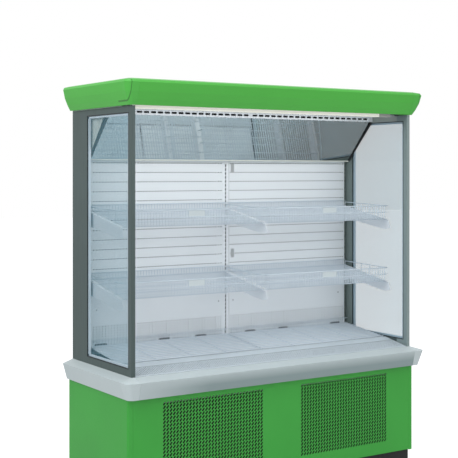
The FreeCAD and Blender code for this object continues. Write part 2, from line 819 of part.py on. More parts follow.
def drain_pipe():
    at = ("0", "fan_plate_front + drain_set_back")
    pan_top = f"({FRAME_TOP} + gauge + pan_tall)"
    collar = round_bar("drain_collar", "drain_radius + drain_rim", "drain_wall", at + (TUB_FLOOR,))
    tube = round_bar("drain_tube", "drain_radius - fit_gap", f"{TUB_FLOOR} - {pan_top} - drain_air_gap",
                     at + (f"{pan_top} + drain_air_gap",))
    both = joined("Part::MultiFuse", "drain_solid", [collar, tube])
    bore = round_bar("drain_bore", "drain_radius - drain_wall", f"{TUB_FLOOR} - {pan_top} + 2*drain_wall",
                     at + (pan_top,))
    keep("drain_pipe", cut("drain_pipe", both, [bore]))


def fan_plate():
    web, top = "fan_plate_front", "deck_level + deck_seat"
    outline = [
        (web, TUB_FLOOR), (f"{web} + gauge", TUB_FLOOR), (f"{web} + gauge", top),
        (f"{web} - fan_plate_flange", top), (f"{web} - fan_plate_flange", f"{top} - gauge"),
        (web, f"{top} - gauge"),
    ]
    sheet = extrusion("fan_plate_sheet", "YZ", outline, f"-({INNER} - fit_gap)", f"{INNER} - fit_gap")
    holes = []
    for end, side in SIDES:
        at = (f"{side}*fan_side", f"{web} - gauge", f"{TUB_FLOOR} + fan_rise + fan_frame_wide/2")
        holes.append(round_bar(f"fan_plate_hole_{end}", "fan_bore_radius", "3*gauge", at, "y"))
    keep("fan_plate", cut("fan_plate", sheet, holes))


def evaporator_fans():
    frames = []
    wide, deep = num("fan_frame_wide"), num("fan_frame_deep")
    bore, hub = num("fan_bore_radius"), num("fan_hub_radius")
    strut, thick = num("fan_strut_wide") / 2, num("fan_strut_thick")
    level = num(f"{TUB_FLOOR} + fan_rise + fan_frame_wide/2")
    front = depth("fan_plate_front") - deep
    backward = V(0, 1, 0)
    for end, side in SIDES:
        x = side * num("fan_side")
        shell = block((x - wide / 2, x + wide / 2), (front, front + deep),
                      (level - wide / 2, level + wide / 2))
        shell = shell.cut(rod(V(x, front - 1, level), backward, bore, deep + 2, 20))
        motor = rod(V(x, front, level), backward, hub, num("fan_motor_deep"))
        struts = [block((x - bore, x + bore), (front, front + thick), (level - strut, level + strut)),
                  block((x - strut, x + strut), (front, front + thick), (level - bore, level + bore))]
        frames.append(shell.multiFuse([motor] + struts).removeSplitter())
        hub_front = V(x, front + num("fan_motor_deep + fan_run_gap"), level)
        keep(f"evaporator_fan_{end}", feature(f"evaporator_fan_{end}", fan_rotor(
            hub_front, num("fan_tip_radius"), hub, num("fan_hub_deep"), 5)))
    keep("evaporator_fan_frames", feature("evaporator_fan_frames", Part.makeCompound(frames)))


def fan_rotor(centre, tip, hub, deep, count):
    """A hub with leaning flat blades, turning about Y; centre is the middle of its front face."""
    core = rod(centre, V(0, 1, 0), hub, deep)
    half_chord = V(tip * 0.34, deep * 0.38, 0)
    thick = num("fan_blade_thick")
    normal = half_chord.cross(V(0, 0, 1)).normalize()
    # share of the half chord, share of the tip radius; the trailing tip is drawn in
    outline = [(-0.45, hub / tip * 0.8), (0.45, hub / tip * 0.8), (1, 0.7), (0.9, 0.9), (0.1, 0.98),
               (-0.7, 0.9), (-0.8, 0.6)]
    blades = []
    for index in range(count):
        points = [half_chord * c + V(0, deep / 2, tip * r) - normal * (thick / 2) for c, r in outline]
        blade = Part.Face(polygon(points)).extrude(normal * thick)
        blade.rotate(V(), V(0, 1, 0), 360 / count * index)
        blade.translate(centre)
        blades.append(blade)
    return core.multiFuse(blades).removeSplitter()


def fin_block(low, high, front, back, foot, top, base, fins):
    """A finned coil, as the comb that its fins make on their base."""
    step = (high - low) / fins
    outline = [V(low, 0, foot), V(high, 0, foot)]
    for index in reversed(range(fins)):
        start = low + index * step
        outline += [V(start + step, 0, top), V(start + step * 0.5, 0, top)]
        if index:
            outline += [V(start + step * 0.5, 0, foot + base), V(start, 0, foot + base)]
    outline += [V(low, 0, top)]
    cleaned = [p for i, p in enumerate(outline) if (p - outline[i - 1]).Length > 0.01]
    comb = Part.Face(polygon(cleaned)).extrude(V(0, back - front, 0))
    comb.translate(V(0, front, 0))
    return comb


def pipe(points, radius, bend, sides=6):
    """A faceted tube along straight runs with rounded corners, as a loft through rings square to it."""
    stations = [(points[0], (points[1] - points[0]).normalize())]
    for before, here, after in zip(points, points[1:], points[2:]):
        a, b = (before - here).normalize(), (after - here).normalize()
        half_turn = math.acos(max(-1, min(1, a.dot(b)))) / 2
        centre = here + (a + b).normalize() * (bend / math.sin(half_turn))
        arm = here + a * (bend / math.tan(half_turn)) - centre
        for share in (0, 0.5, 1):
            angle = (math.pi - 2 * half_turn) * share
            place = centre + arm * math.cos(angle) - a * (bend * math.sin(angle))
            stations.append((place, (arm * -math.sin(angle) - a * (bend * math.cos(angle))).normalize()))
    stations.append((points[-1], (points[-1] - points[-2]).normalize()))
    heading = stations[0][1]
    beside = heading.cross(V(0, 1, 0) if abs(heading.y) < 0.5 else V(1, 0, 0)).normalize()
    rings = []
    for place, ahead in stations:
        beside = FreeCAD.Rotation(heading, ahead).multVec(beside)
        heading, above = ahead, ahead.cross(beside)
        turns = [2 * math.pi * (index + 0.5) / sides for index in range(sides)]
        rings.append(polygon([place + beside * (radius * math.cos(t)) + above * (radius * math.sin(t))
                              for t in turns]))
    return Part.makeLoft(rings, True, True)


def return_bend(centre, side):
    """A hairpin of the coil's tube outside its end plate, standing upright."""
    turn = num("bend_radius")
    out = V(side * (turn + num("bend_stub")), 0, 0)
    low, high = centre - V(0, 0, turn), centre + V(0, 0, turn)
    return pipe([low, low + out, high + out, high], num("pipe_radius"), turn * 0.9)


def evaporator_coil():
    half, floor = num("coil_half"), num(TUB_FLOOR)
    front, back = depth("coil_front"), depth(COIL_BACK)
    comb = fin_block(-half, half, front, back, floor, floor + num("coil_tall"), num("coil_base"),
                     int(num("coil_fins")))
    count = int(num("coil_bends"))
    bends = []
    for index in range(count):
        y = front + (index + 0.5) * (back - front) / count
        for _, side in SIDES:
            bends.append(return_bend(V(side * half, y, floor + num("coil_tall") / 2), side))
    keep("evaporator_coil", feature("evaporator_coil", Part.makeCompound([comb] + bends)))


def rear_wall():
    half = f"({INNER} - fit_gap)"
    keep("rear_wall", box("rear_wall", (f"-{half}", half), ("case_depth - rear_wall_thick", "case_depth"),
                          (TUB_FLOOR, CASE_TOP)))


def roof_panel():
    keep("roof_panel", box("roof_panel", (f"-({HALF})", HALF), ("roof_front", "case_depth"),
                           (CASE_TOP, f"{CASE_TOP} + roof_thick")))


# ---------------------------------------------------------------- machine room

def compressor():
    """A hermetic dome: two pressed shells with a weld band, feet on bushes and a terminal cover."""
    r, tall, lip = num("compressor_radius"), num("compressor_tall"), num("weld_band")
    bush_tall, sole = num("bush_tall"), num("compressor_sole")
    foot = num(FRAME_TOP) + num("gauge") + bush_tall - sole
    # shares of the radius and of the height, from the bottom to the crown
    lower = [(0.55 * r, 0), (0.87 * r, 0.05 * tall), (r, 0.2 * tall), (r, 0.54 * tall)]
    band = [(r + lip, 0.55 * tall), (r + lip, 0.59 * tall)]
    upper = [(0.97 * r, 0.6 * tall), (0.92 * r, 0.74 * tall), (0.75 * r, 0.89 * tall), (0.35 * r, tall)]
    dome = turned(lower + band + upper, 18)
    feet = [block((-r * 1.2, r * 1.2), (-r * 0.95, -r * 0.55), (-sole, sole)),
            block((-r * 1.2, r * 1.2), (r * 0.55, r * 0.95), (-sole, sole))]
    bushes = []
    for sx in (-1, 1):
        for sy in (-1, 1):
            start = V(sx * r * 1.08, sy * r * 0.75, sole - bush_tall)
            bushes.append(rod(start, V(0, 0, 1), num("bush_radius"), bush_tall, 10))
    cover = block((r * 0.8, r * 1.28), (-r / 3, r / 3), (tall * 0.2, tall * 0.5))
    whole = dome.multiFuse(feet + bushes + [cover]).removeSplitter()
    whole.translate(V(-num("compressor_side"), depth("compressor_depth"), foot))
    keep("compressor", feature("compressor", whole))


def condenser():
    inner, outer = num("condenser_inner"), num("condenser_outer")
    foot = num(FRAME_TOP) + num("gauge")
    top = foot + num("condenser_tall")
    front, back = depth("condenser_front"), depth("condenser_front + condenser_deep")
    comb = fin_block(inner, outer, front, back, foot, top, num("condenser_base"), int(num("condenser_fins")))
    count = int(num("coil_bends"))
    bends = []
    for index in range(count):
        level = foot + (index + 0.5) * (top - foot) / count
        for x, side in ((inner, -1), (outer, 1)):
            bends.append(return_bend(V(x, (front + back) / 2, level), side))
    keep("condenser_coil", feature("condenser_coil", Part.makeCompound([comb] + bends)))
    r, deep, wall = num("machine_fan_radius"), num("shroud_deep"), num("shroud_wall")
    gap, run = num("tip_gap"), num("shroud_wall + fan_run_gap")
    backward = V(0, 1, 0)
    middle = V((inner + outer) / 2, back, (foot + top) / 2)
    sheet = block((inner, outer), (back, back + wall), (foot, top))
    ring = rod(middle, backward, r + gap + wall, deep, 24)
    bore = rod(middle - backward, backward, r + gap, deep + 2, 24)
    keep("condenser_shroud", feature("condenser_shroud", sheet.fuse(ring).cut(bore).removeSplitter()))
    keep("condenser_fan", feature("condenser_fan", fan_rotor(
        middle + backward * run, r, num("machine_hub_radius"), deep, 5)))
    start = middle + backward * (run + deep + num("fit_gap"))
    can = rod(start, backward, num("motor_radius"), num("motor_long"))
    bar, plate_thick = num("motor_bar"), num("motor_plate")
    bar_y = (start.y + bar, start.y + 2 * bar)
    post = block((middle.x - 2 * bar, middle.x + 2 * bar), bar_y, (foot, middle.z))
    sole = block((middle.x - 6 * bar, middle.x + 6 * bar), (bar_y[0], bar_y[0] + 10 * bar),
                 (foot, foot + plate_thick))
    keep("condenser_fan_motor", feature("condenser_fan_motor", can.multiFuse([post, sole]).removeSplitter()))


def evaporating_tray():
    low, wall = "-pan_long/2", "pan_wall"
    floor = f"{FRAME_TOP} + gauge"
    outer = box("pan_outer", (low, "pan_long/2"), ("pan_back - pan_deep", "pan_back"),
                (floor, f"{floor} + pan_tall"))
    inner = box("pan_inner", (f"{low} + {wall}", f"pan_long/2 - {wall}"),
                (f"pan_back - pan_deep + {wall}", f"pan_back - {wall}"),
                (f"{floor} + {wall}", f"{floor} + pan_tall + 1"))
    keep("evaporating_tray", cut("evaporating_tray", outer, [inner]))


def refrigerant_pipes():
    """Discharge and liquid lines between the compressor and the condenser, with the filter drier."""
    foot = num(FRAME_TOP) + num("gauge")
    x0, y0 = -num("compressor_side"), depth("compressor_depth")
    r, line, bend = num("compressor_radius"), num("line_radius"), num("bend_radius")
    side, front = num("condenser_inner"), depth("condenser_front + condenser_deep/2")
    level = foot + num("condenser_tall - line_drop")
    run_y, out_x = y0 - r - num("line_reach"), side - num("line_reach")
    start = V(x0, y0 - r, foot + num("line_start"))
    discharge = pipe([start, V(x0, run_y, start.z), V(x0, run_y, level), V(out_x, run_y, level),
                      V(out_x, front, level), V(side, front, level)], line, bend)
    low = foot + num("line_drop")
    drier_x, drier_foot = side - num("drier_side"), foot + num("drier_level")
    drier_top = drier_foot + num("drier_long")
    liquid = pipe([V(side, front, low), V(drier_x, front, low), V(drier_x, front, drier_foot)], line, bend)
    drier = rod(V(drier_x, front, drier_foot), V(0, 0, 1), num("drier_radius"), num("drier_long"))
    turn, tail_x = drier_top + num("line_reach"), drier_x - num("line_reach")
    tail = pipe([V(drier_x, front, drier_top), V(drier_x, front, turn), V(tail_x, front, turn),
                 V(tail_x, front, num(TUB_UNDER))], num("capillary_radius"), bend)
    solids = Part.makeCompound([discharge, liquid.fuse(drier).fuse(tail)])
    keep("refrigerant_pipes", feature("refrigerant_pipes", solids))


def electrical_box():
    x = ("-box_side - box_wide/2", "-box_side + box_wide/2")
    y = ("condenser_front", "condenser_front + box_deep")
    z = (f"{FRAME_TOP} + gauge", f"{FRAME_TOP} + gauge + box_tall")
    case = box("box_case", x, y, z)
    level = f"({FRAME_TOP} + gauge + box_tall*0.72)"
    opening = box("box_opening",
                  ("-box_side - rocker_wide/2 - fit_gap", "-box_side + rocker_wide/2 + fit_gap"),
                  ("condenser_front - 1", "condenser_front + rocker_deep + 3"),
                  (f"{level} - rocker_tall/2 - 1", f"{level} + rocker_tall/2 + 1"))
    keep("electrical_box", cut("electrical_box", case, [opening]))
    half, deep = num("rocker_tall") / 2, num("rocker_deep")
    lean = math.tan(math.radians(num("rocker_lean")))
    x0 = num("-box_side - rocker_wide/2")
    section = [V(x0, deep * 0.8, -half * 0.6), V(x0, deep * 0.8, half * 0.6), V(x0, half * lean, half),
               V(x0, -1.5, 0), V(x0, half * lean, -half)]
    rocker = Part.Face(polygon(section)).extrude(V(num("rocker_wide"), 0, 0))
    rocker.rotate(V(x0, deep / 2, 0), V(1, 0, 0), num("rocker_lean"))
    rocker.translate(V(0, depth("condenser_front") + 0.5, num(level)))
    keep("rocker_switch", feature("rocker_switch", rocker))


# ---------------------------------------------------------------- glass ends

def end_frames():
    panes = []
    for end, side in SIDES:
        name = f"end_frame_{end}"
        s = f"{side}*"
        out_face, in_face = f"{s}{HALF}", f"{s}({HALF} - frame_thick)"
        middle = f"({HALF} - frame_thick/2)"
        far = f"{s}({middle} + glass_thick/2 + groove_gap)"
        near = f"{s}({middle} - glass_thick/2 - groove_gap)"
        post = "front_post_deep"
        front = extrusion(name + "_front_post", "XY", [
            (out_face, "0"), (out_face, post), (far, post), (far, f"{post} - groove_deep"),
            (near, f"{post} - groove_deep"), (near, post), (in_face, post), (in_face, "0"),
        ], "deck_level", CASE_TOP)
        rounded(front, name + "_post_edge", "2", upright_edge(num(out_face), depth(0)))
        back = REAR_POST
        rear = extrusion(name + "_rear_post", "XY", [
            (out_face, back), (out_face, "case_depth"), (in_face, "case_depth"), (in_face, back),
            (near, back), (near, f"{back} + groove_deep"), (far, f"{back} + groove_deep"), (far, back),
        ], "deck_level", CASE_TOP)
        run_y = (post, back)
        x = across(side, f"{HALF} - frame_thick", HALF)
        groove_half = "(glass_thick/2 + groove_gap)"
        slot_x = across(side, f"{middle} - {groove_half}", f"{middle} + {groove_half}")
        rails = []
        for rail, low, high, slot in (
            ("top", f"{CASE_TOP} - top_rail_tall", CASE_TOP,
             (f"{CASE_TOP} - top_rail_tall - 1", f"{CASE_TOP} - top_rail_tall + groove_deep")),
            ("bottom", "deck_level", "deck_level + bottom_rail_tall",
             ("deck_level + bottom_rail_tall - groove_deep", "deck_level + bottom_rail_tall + 1")),
        ):
            bar = box(f"{name}_{rail}_bar", x, run_y, (low, high))
            groove = box(f"{name}_{rail}_groove", slot_x, (f"{run_y[0]} - 1", f"{run_y[1]} + 1"), slot)
            rails.append(cut(f"{name}_{rail}_rail", bar, [groove]))
        keep(name, joined("Part::Compound", name, [front, rear] + rails))
        tuck = "(groove_deep - glass_gap)"
        panes.append(box(f"end_glass_{end}",
                         across(side, f"{middle} - glass_thick/2", f"{middle} + glass_thick/2"),
                         (f"{post} - {tuck}", f"{back} + {tuck}"),
                         (f"deck_level + bottom_rail_tall - {tuck}",
                          f"{CASE_TOP} - top_rail_tall + {tuck}")))
    keep("end_glass", joined("Part::Compound", "end_glass", panes))


# ---------------------------------------------------------------- back duct

def back_panels():
    """Two upper sheets with rows of slots, and two lower ones with a vent band and finger slots."""
    gauge, deck = num("gauge"), num("deck_level")
    inner = num("upright_wide/2 + upright_clear")
    outer = num("panel_outer")
    uppers, lowers = [], []
    for _, side in SIDES:
        low_x, high_x = sorted((side * inner, side * outer))
        origin = V(0, depth(PANEL_FRONT) + gauge, deck)
        holes = []
        for row in range(int(num("row_count"))):
            z = num("row_first") + row * num("row_pitch")
            for start, end in divided(low_x, high_x, int(num("slots_per_row")), num("slot_bridge")):
                holes.append(oblong(start, z, end, z + num("row_slot_tall")))
        edge = oblong(low_x, num("panel_split"), high_x, num("panel_top"))
        uppers.append(plate(origin, V(1, 0, 0), V(0, 0, 1), edge, holes, gauge))
        holes = []
        for row in range(int(num("band_rows"))):
            z = num("band_bottom") + row * num("band_pitch")
            for start, end in divided(low_x, high_x, int(num("band_slots")), num("slot_bridge")):
                holes.append(oblong(start, z, end, z + num("band_slot_tall")))
        for share in (0.27, 0.73):
            x = low_x + share * (high_x - low_x)
            z = num("band_bottom - finger_slot_tall/2 - slot_bridge")
            holes.append(eased_slot(x, z, num("finger_slot_long"), num("finger_slot_tall")))
        edge = oblong(low_x, num("panel_bottom"), high_x, num("panel_split") - num("fit_gap"))
        lowers.append(plate(origin, V(1, 0, 0), V(0, 0, 1), edge, holes, gauge))
    keep("upper_back_panels", feature("upper_back_panels", Part.makeCompound(uppers)))
    sheets = feature("lower_back_sheets", Part.makeCompound(lowers))
    keep("lower_back_panels", joined("Part::Compound", "lower_back_panels", [sheets, deck_ledge()]))


def slot_levels():
    """Heights of the hook slots over the deck level; a tier's hooks fall on the same ones."""
    pitch = num("shelf_step") / num("slots_per_step")
    return [num("hook_first") + index * pitch for index in range(int(num("hook_slots")))]


def shelf_uprights():
    gauge, deck = num("gauge"), num("deck_level")
    front, back = depth(PANEL_FRONT), depth("case_depth - rear_wall_thick")
    low, high = num("panel_bottom"), num("panel_top")
    wide, tall = num("hook_slot_wide"), num("hook_slot_tall")
    outer = num(f"{INNER} - fit_gap")
    inner = num("panel_outer + fit_gap")
    spans = [(-outer, -inner), (-num("upright_wide") / 2, num("upright_wide") / 2), (inner, outer)]
    uprights = []
    for start, end in spans:
        middle = (start + end) / 2
        holes = [oblong(middle - wide / 2, z - tall / 2, middle + wide / 2, z + tall / 2)
                 for z in slot_levels()]
        face = plate(V(0, front + gauge, deck), V(1, 0, 0), V(0, 0, 1),
                     oblong(start, low, end, high), holes, gauge)
        legs = [block((x, x + gauge), (front + gauge, back), (deck + low, deck + high))
                for x in (start, end - gauge)]
        uprights.append(face.multiFuse(legs).removeSplitter())
    keep("shelf_uprights", feature("shelf_uprights", Part.makeCompound(uprights)))


def air_outlet():
    """The discharge strip under the roof, with a row of slots in each half and a lip under them."""
    front, top = "outlet_front", CASE_TOP
    outline = [
        (front, OUTLET_FOOT), (front, top), (f"{front} + outlet_plate", top),
        (f"{front} + outlet_plate", f"{OUTLET_FOOT} + outlet_plate"),
        (f"{front} + outlet_lip", f"{OUTLET_FOOT} + outlet_plate"), (f"{front} + outlet_lip", OUTLET_FOOT),
    ]
    half = f"({INNER} - end_wall_gap)"
    strip = extrusion("air_outlet_strip", "YZ", outline, f"-{half}", half)
    pitch, long_side = num("outlet_pitch"), num("outlet_slot_long")
    slot_top = num(f"{top} - outlet_plate")
    slots = []
    for _, side in SIDES:
        for index in range(int(num("outlet_slots"))):
            x = side * pitch * (index + 0.6)
            slots.append(block((x - long_side / 2, x + long_side / 2),
                               (depth(front) - 1, depth(f"{front} + outlet_plate") + 1),
                               (slot_top - num("outlet_slot_tall"), slot_top)))
    tool = feature("air_outlet_slots", Part.makeCompound(slots))
    keep("air_outlet", cut("air_outlet", strip, [tool]))


def mirror():
    half = f"({INNER} - 3*end_wall_gap)"
    level = "(deck_level + mirror_foot_level)"
    outline = [(MIRROR_FOOT, level), (f"{MIRROR_FOOT} + mirror_plate", level),
               ("mirror_top + mirror_plate", OUTLET_FOOT), ("mirror_top", OUTLET_FOOT)]
    keep("mirror_panel", extrusion("mirror_panel", "YZ", outline, f"-{half}", half))
    lip, rear = "outlet_plate", f"({PANEL_FRONT} + trim_lap)"
    outline = [
        (MIRROR_FOOT, f"{level} - trim_tall"), (f"{MIRROR_FOOT} + {lip}", f"{level} - trim_tall"),
        (f"{MIRROR_FOOT} + {lip}", f"{level} - {lip}"), (rear, f"{level} - {lip}"),
        (rear, level), (MIRROR_FOOT, level),
    ]
    keep("mirror_trim", extrusion("mirror_trim", "YZ", outline, f"-{half}", half))


# ---------------------------------------------------------------- canopy, lamp and night curtain

def curtain_brackets():
    """Two ears under the canopy's top that carry the roller's pins."""
    ears = []
    for end, side in SIDES:
        low, high = across(side, "roll_half + 4", "roll_half + 8")
        ear = box(f"curtain_ear_{end}", (low, high), ("canopy_front + gauge", "roll_depth + roll_radius"),
                  (f"{ROLL_LEVEL} - roll_radius", f"{CORNICE_TOP} - moulding_wall - gauge"))
        bore = round_bar(f"curtain_ear_bore_{end}", "roll_pin_radius + pin_gap", "10",
                        (f"{low} - 3", "roll_depth", ROLL_LEVEL), "x")
        ears.append(cut(f"curtain_bracket_{end}", ear, [bore]))
    return ears


def canopy_frame():
    front, back = "canopy_front", "roof_front"
    low, top = f"{CASE_TOP} + canopy_start", f"{CORNICE_TOP} - moulding_wall"
    lamp_top = f"{CASE_TOP} - lamp_drop + lamp_tall"
    outline = [
        (front, low), (f"{front} + gauge", low), (f"{front} + gauge", f"{top} - gauge"),
        (f"{back} - gauge", f"{top} - gauge"), (f"{back} - gauge", f"{lamp_top} + gauge"),
        ("lamp_front", f"{lamp_top} + gauge"), ("lamp_front", lamp_top), (back, lamp_top),
        (back, top), (front, top),
    ]
    half = f"({HALF} - fit_gap)"
    pieces = [extrusion("canopy_front_box", "YZ", outline, f"-{half}", half)]
    roof = f"({CASE_TOP} + roof_thick)"
    for end, side in SIDES:
        web = box(f"canopy_web_{end}", across(side, f"{half} - gauge", half), (back, "case_depth - gauge"),
                  (roof, top))
        flange = box(f"canopy_flange_{end}", across(side, f"{half} - cornice_flange", f"{half} - gauge"),
                     (back, "case_depth - gauge"), (f"{top} - gauge", top))
        pieces.append(joined("Part::MultiFuse", f"canopy_rail_{end}", [web, flange]))
    keep("canopy_frame", joined("Part::Compound", "canopy_frame", pieces + curtain_brackets()))


def lamp():
    """A flat strip light: opal cover between a thin left cap and the driver's housing on the right."""
    low, high = f"{CASE_TOP} - lamp_drop", f"{CASE_TOP} - lamp_drop + lamp_tall"
    ease = "lamp_ease"
    body = extrusion("lamp_diffuser", "YZ", [
        ("lamp_front", f"{low} + {ease}"), (f"lamp_front + {ease}", low), (f"lamp_back - {ease}", low),
        ("lamp_back", f"{low} + {ease}"), ("lamp_back", high), ("lamp_front", high),
    ], "-lamp_left_end", "lamp_right_end")
    keep("lamp_diffuser", body)
    y, z = ("lamp_front", "lamp_back"), (low, high)
    cap = box("lamp_cap", ("-lamp_left_end - lamp_cap_long", "-lamp_left_end"), y, z)
    driver = box("lamp_driver", ("lamp_right_end", "lamp_right_end + lamp_driver_long"), y, z)
    keep("lamp_end_caps", joined("Part::Compound", "lamp_end_caps", [cap, driver]))


def night_curtain():
    at = ("roll_depth", ROLL_LEVEL)
    roll = round_bar("curtain_roll_cloth", "roll_radius", "2*roll_half", ("-roll_half",) + at, "x")
    pins = round_bar("curtain_roll_pins", "roll_pin_radius", "2*roll_pin_half",
                     ("-roll_pin_half",) + at, "x")
    keep("curtain_roll", joined("Part::MultiFuse", "curtain_roll", [roll, pins]))
    face = "(roll_depth - roll_radius - cloth_gap)"
    keep("curtain_strip", box("curtain_strip", ("-roll_half", "roll_half"), (f"{face} - cloth_thick", face),
                              (f"{BAR_FOOT} + bar_tall", ROLL_LEVEL)))
    middle = f"({face} - cloth_thick/2)"
    shoulder, crown = f"{BAR_FOOT} + bar_tall*0.6", f"{BAR_FOOT} + bar_tall"
    bar = extrusion("pull_bar_section", "YZ", [
        (f"{middle} - bar_deep/2", BAR_FOOT), (f"{middle} + bar_deep/2", BAR_FOOT),
        (f"{middle} + bar_deep/2", shoulder), (f"{middle} + bar_deep/6", crown),
        (f"{middle} - bar_deep/6", crown), (f"{middle} - bar_deep/2", shoulder),
    ], "-bar_half", "bar_half")
    grip = box("pull_bar_grip", ("-bar_grip_half", "bar_grip_half"),
               (f"{middle} + bar_deep/2", f"{middle} + bar_deep/2 + bar_grip_deep"),
               (BAR_FOOT, f"{BAR_FOOT} + 3"))
    keep("curtain_pull_bar", joined("Part::MultiFuse", "curtain_pull_bar", [bar, grip]))


# ---------------------------------------------------------------- shelves and deck

# The bracket's lower edge. At the root: reach in front of the back panels, drop under the top edge.
# At the tip: distance behind the shelf's front edge, drop under the top edge.
BRACKET_ROOT = [(0, 92), (12, 84), (30, 75), (60, 68), (110, 64)]
BRACKET_TIP = [(127, 61), (36, 57), (13, 53), (-21, 39)]


def shelf_levels():
    upper = num("shelf_front_level")
    return (("upper", upper), ("lower", upper - num("shelf_step")))


def shelf_slope():
    return num("shelf_rise") / num(f"{SHELF_BACK} - shelf_front")


def shelf_brackets():
    """Three cantilever arms per tier, hooked into the uprights' slots."""
    deck, web, slope = num("deck_level"), num("bracket_web"), shelf_slope()
    thick, flange = num("bracket_flange_thick"), num("bracket_flange")
    wall = num(PANEL_FRONT)
    tip = num("shelf_front - bracket_lead")
    edge = [(wall - reach, drop) for reach, drop in BRACKET_ROOT]
    edge += [(num("shelf_front") + reach, drop) for reach, drop in BRACKET_TIP]
    arms = []
    for _, front_level in shelf_levels():
        def top_at(y):
            return deck + front_level + (y - num("shelf_front")) * slope
        outline = [(y, top_at(y) - drop) for y, drop in edge]
        outline += [(tip, top_at(tip) - thick), (wall, top_at(wall) - thick)]
        for middle, ways in ((-num("bracket_side"), (1,)), (0, (-1, 1)), (num("bracket_side"), (-1,))):
            x = middle - web / 2
            arm = Part.Face(polygon([V(x, depth(y), z) for y, z in outline])).extrude(V(web, 0, 0))
            low = min([middle - web / 2] + [middle + way * flange for way in ways])
            high = max([middle + web / 2] + [middle + way * flange for way in ways])
            shelf_seat = [(tip, top_at(tip) - thick), (wall, top_at(wall) - thick),
                          (wall, top_at(wall)), (tip, top_at(tip))]
            seat_face = Part.Face(polygon([V(low, depth(y), z) for y, z in shelf_seat]))
            seat = seat_face.extrude(V(high - low, 0, 0))
            hooks = []
            for z in slot_levels():
                if top_at(wall) - num("hook_zone") < deck + z < top_at(wall) - num("hook_slot_tall/2"):
                    tall = num("hook_slot_tall/2 - hook_play")
                    narrow = num("hook_slot_wide/2 - hook_play")
                    hooks.append(block((middle - min(narrow, web / 2), middle + min(narrow, web / 2)),
                                       (depth(wall) - num("gauge"), depth(wall) + num("hook_deep")),
                                       (deck + z - tall, deck + z + tall)))
            arms.append(arm.multiFuse([seat] + hooks).removeSplitter())
    keep("shelf_brackets", feature("shelf_brackets", Part.makeCompound(arms)))


def net(origin, along, up, wide, tall, columns, rows, wire):
    """A flat welded-wire net: a plate of one wire's thickness with its meshes open."""
    holes = []
    for left, right in divided(0, wide, columns, wire):
        for low, high in divided(0, tall, rows, wire):
            holes.append(oblong(left, low, right, high))
    return plate(origin, along, up, oblong(0, 0, wide, tall), holes, wire)


def wire_shelves():
    """Each shelf is a tray of welded wire: sloping floor, front fence, rear stop and two ends."""
    deck, wire = num("deck_level"), num("wire")
    front, back = depth("shelf_front"), depth(SHELF_BACK)
    rise, fence = num("shelf_rise"), num("fence_tall")
    run = back - front
    up_slope = V(0, run, rise).normalize()
    for tier, front_level in shelf_levels():
        for end, side in SIDES:
            low_x, high_x = sorted((side * num("shelf_split"), side * num("shelf_outer")))
            wide = high_x - low_x
            columns = max(3, round(wide / num("rib_pitch")))
            z = deck + front_level + num("rest_gap")
            floor = net(V(low_x, front, z), V(1, 0, 0), up_slope, wide, math.hypot(run, rise),
                        columns, 2, wire)
            stop_foot = V(low_x, back + wire, z + rise * (1 + wire / run))
            stop = net(stop_foot, V(1, 0, 0), V(0, 0, 1), wide, num("riser_tall"), 3, 1, wire)
            guard = net(V(low_x, front, z), V(1, 0, 0), V(0, 0, 1), wide, fence, columns, 1, wire)
            label_x = side * num("shelf_split") + side * num("label_place") * wide
            label = block((label_x - num("label_long") / 2, label_x + num("label_long") / 2),
                          (front - wire - num("label_thick"), front - wire),
                          (z + fence - wire - num("label_tall"), z + fence - wire))
            lift = wire * math.hypot(run, rise) / run
            ends = []
            for x in (low_x, high_x - wire):
                outline = [(0, lift), (run, rise + lift), (run, fence), (0, fence)]
                far = 0.72
                hole = [(wire, lift + 2 * wire), (run * far, rise * far + lift + 2 * wire),
                        (run * far, fence - wire), (wire, fence - wire)]
                ends.append(plate(V(x, front, z), V(0, 1, 0), V(0, 0, 1), outline, [hole], wire))
            keep(f"wire_shelf_{tier}_{end}", feature(f"wire_shelf_{tier}_{end}", Part.makeCompound(
                [floor, stop, guard, label] + ends)))


def deck_grids():
    """Two lift-out racks: long wires from side to side on a slope, with a rear stop."""
    deck, wire = num("deck_level"), num("wire")
    front, back = depth("deck_front"), depth(DECK_BACK)
    rise = num("deck_rise")
    up_slope = V(0, back - front, rise).normalize()
    for end, side in SIDES:
        low_x, high_x = sorted((side * num("shelf_split"), side * num("shelf_outer")))
        wide = high_x - low_x
        z = deck + num("deck_seat") + num("rest_gap")
        floor = net(V(low_x, front, z), V(1, 0, 0), up_slope, wide, math.hypot(back - front, rise), 3,
                    int(num("deck_wire_count")), wire)
        stop = net(V(low_x, back + wire, z + rise), V(1, 0, 0), V(0, 0, 1), wide, num("deck_riser_tall"),
                   3, 2, wire)
        keep(f"deck_grid_{end}", feature(f"deck_grid_{end}", Part.makeCompound([floor, stop])))


def deck_ledge():
    """The ledge on the lower back panels that carries the racks' rear edge."""
    front = f"({DECK_BACK} - ledge_lap)"
    run = f"({DECK_BACK} - deck_front)"
    top = f"(deck_level + deck_seat + deck_rise*({run} - ledge_lap)/{run})"
    outline = [
        (front, top), (PANEL_FRONT, top), (PANEL_FRONT, f"{top} - ledge_fold"),
        (f"{PANEL_FRONT} - gauge", f"{top} - ledge_fold"), (f"{PANEL_FRONT} - gauge", f"{top} - gauge"),
        (front, f"{top} - gauge"),
    ]
    half = f"({INNER} - fit_gap)"
    return extrusion("deck_ledge", "YZ", outline, f"-{half}", half)


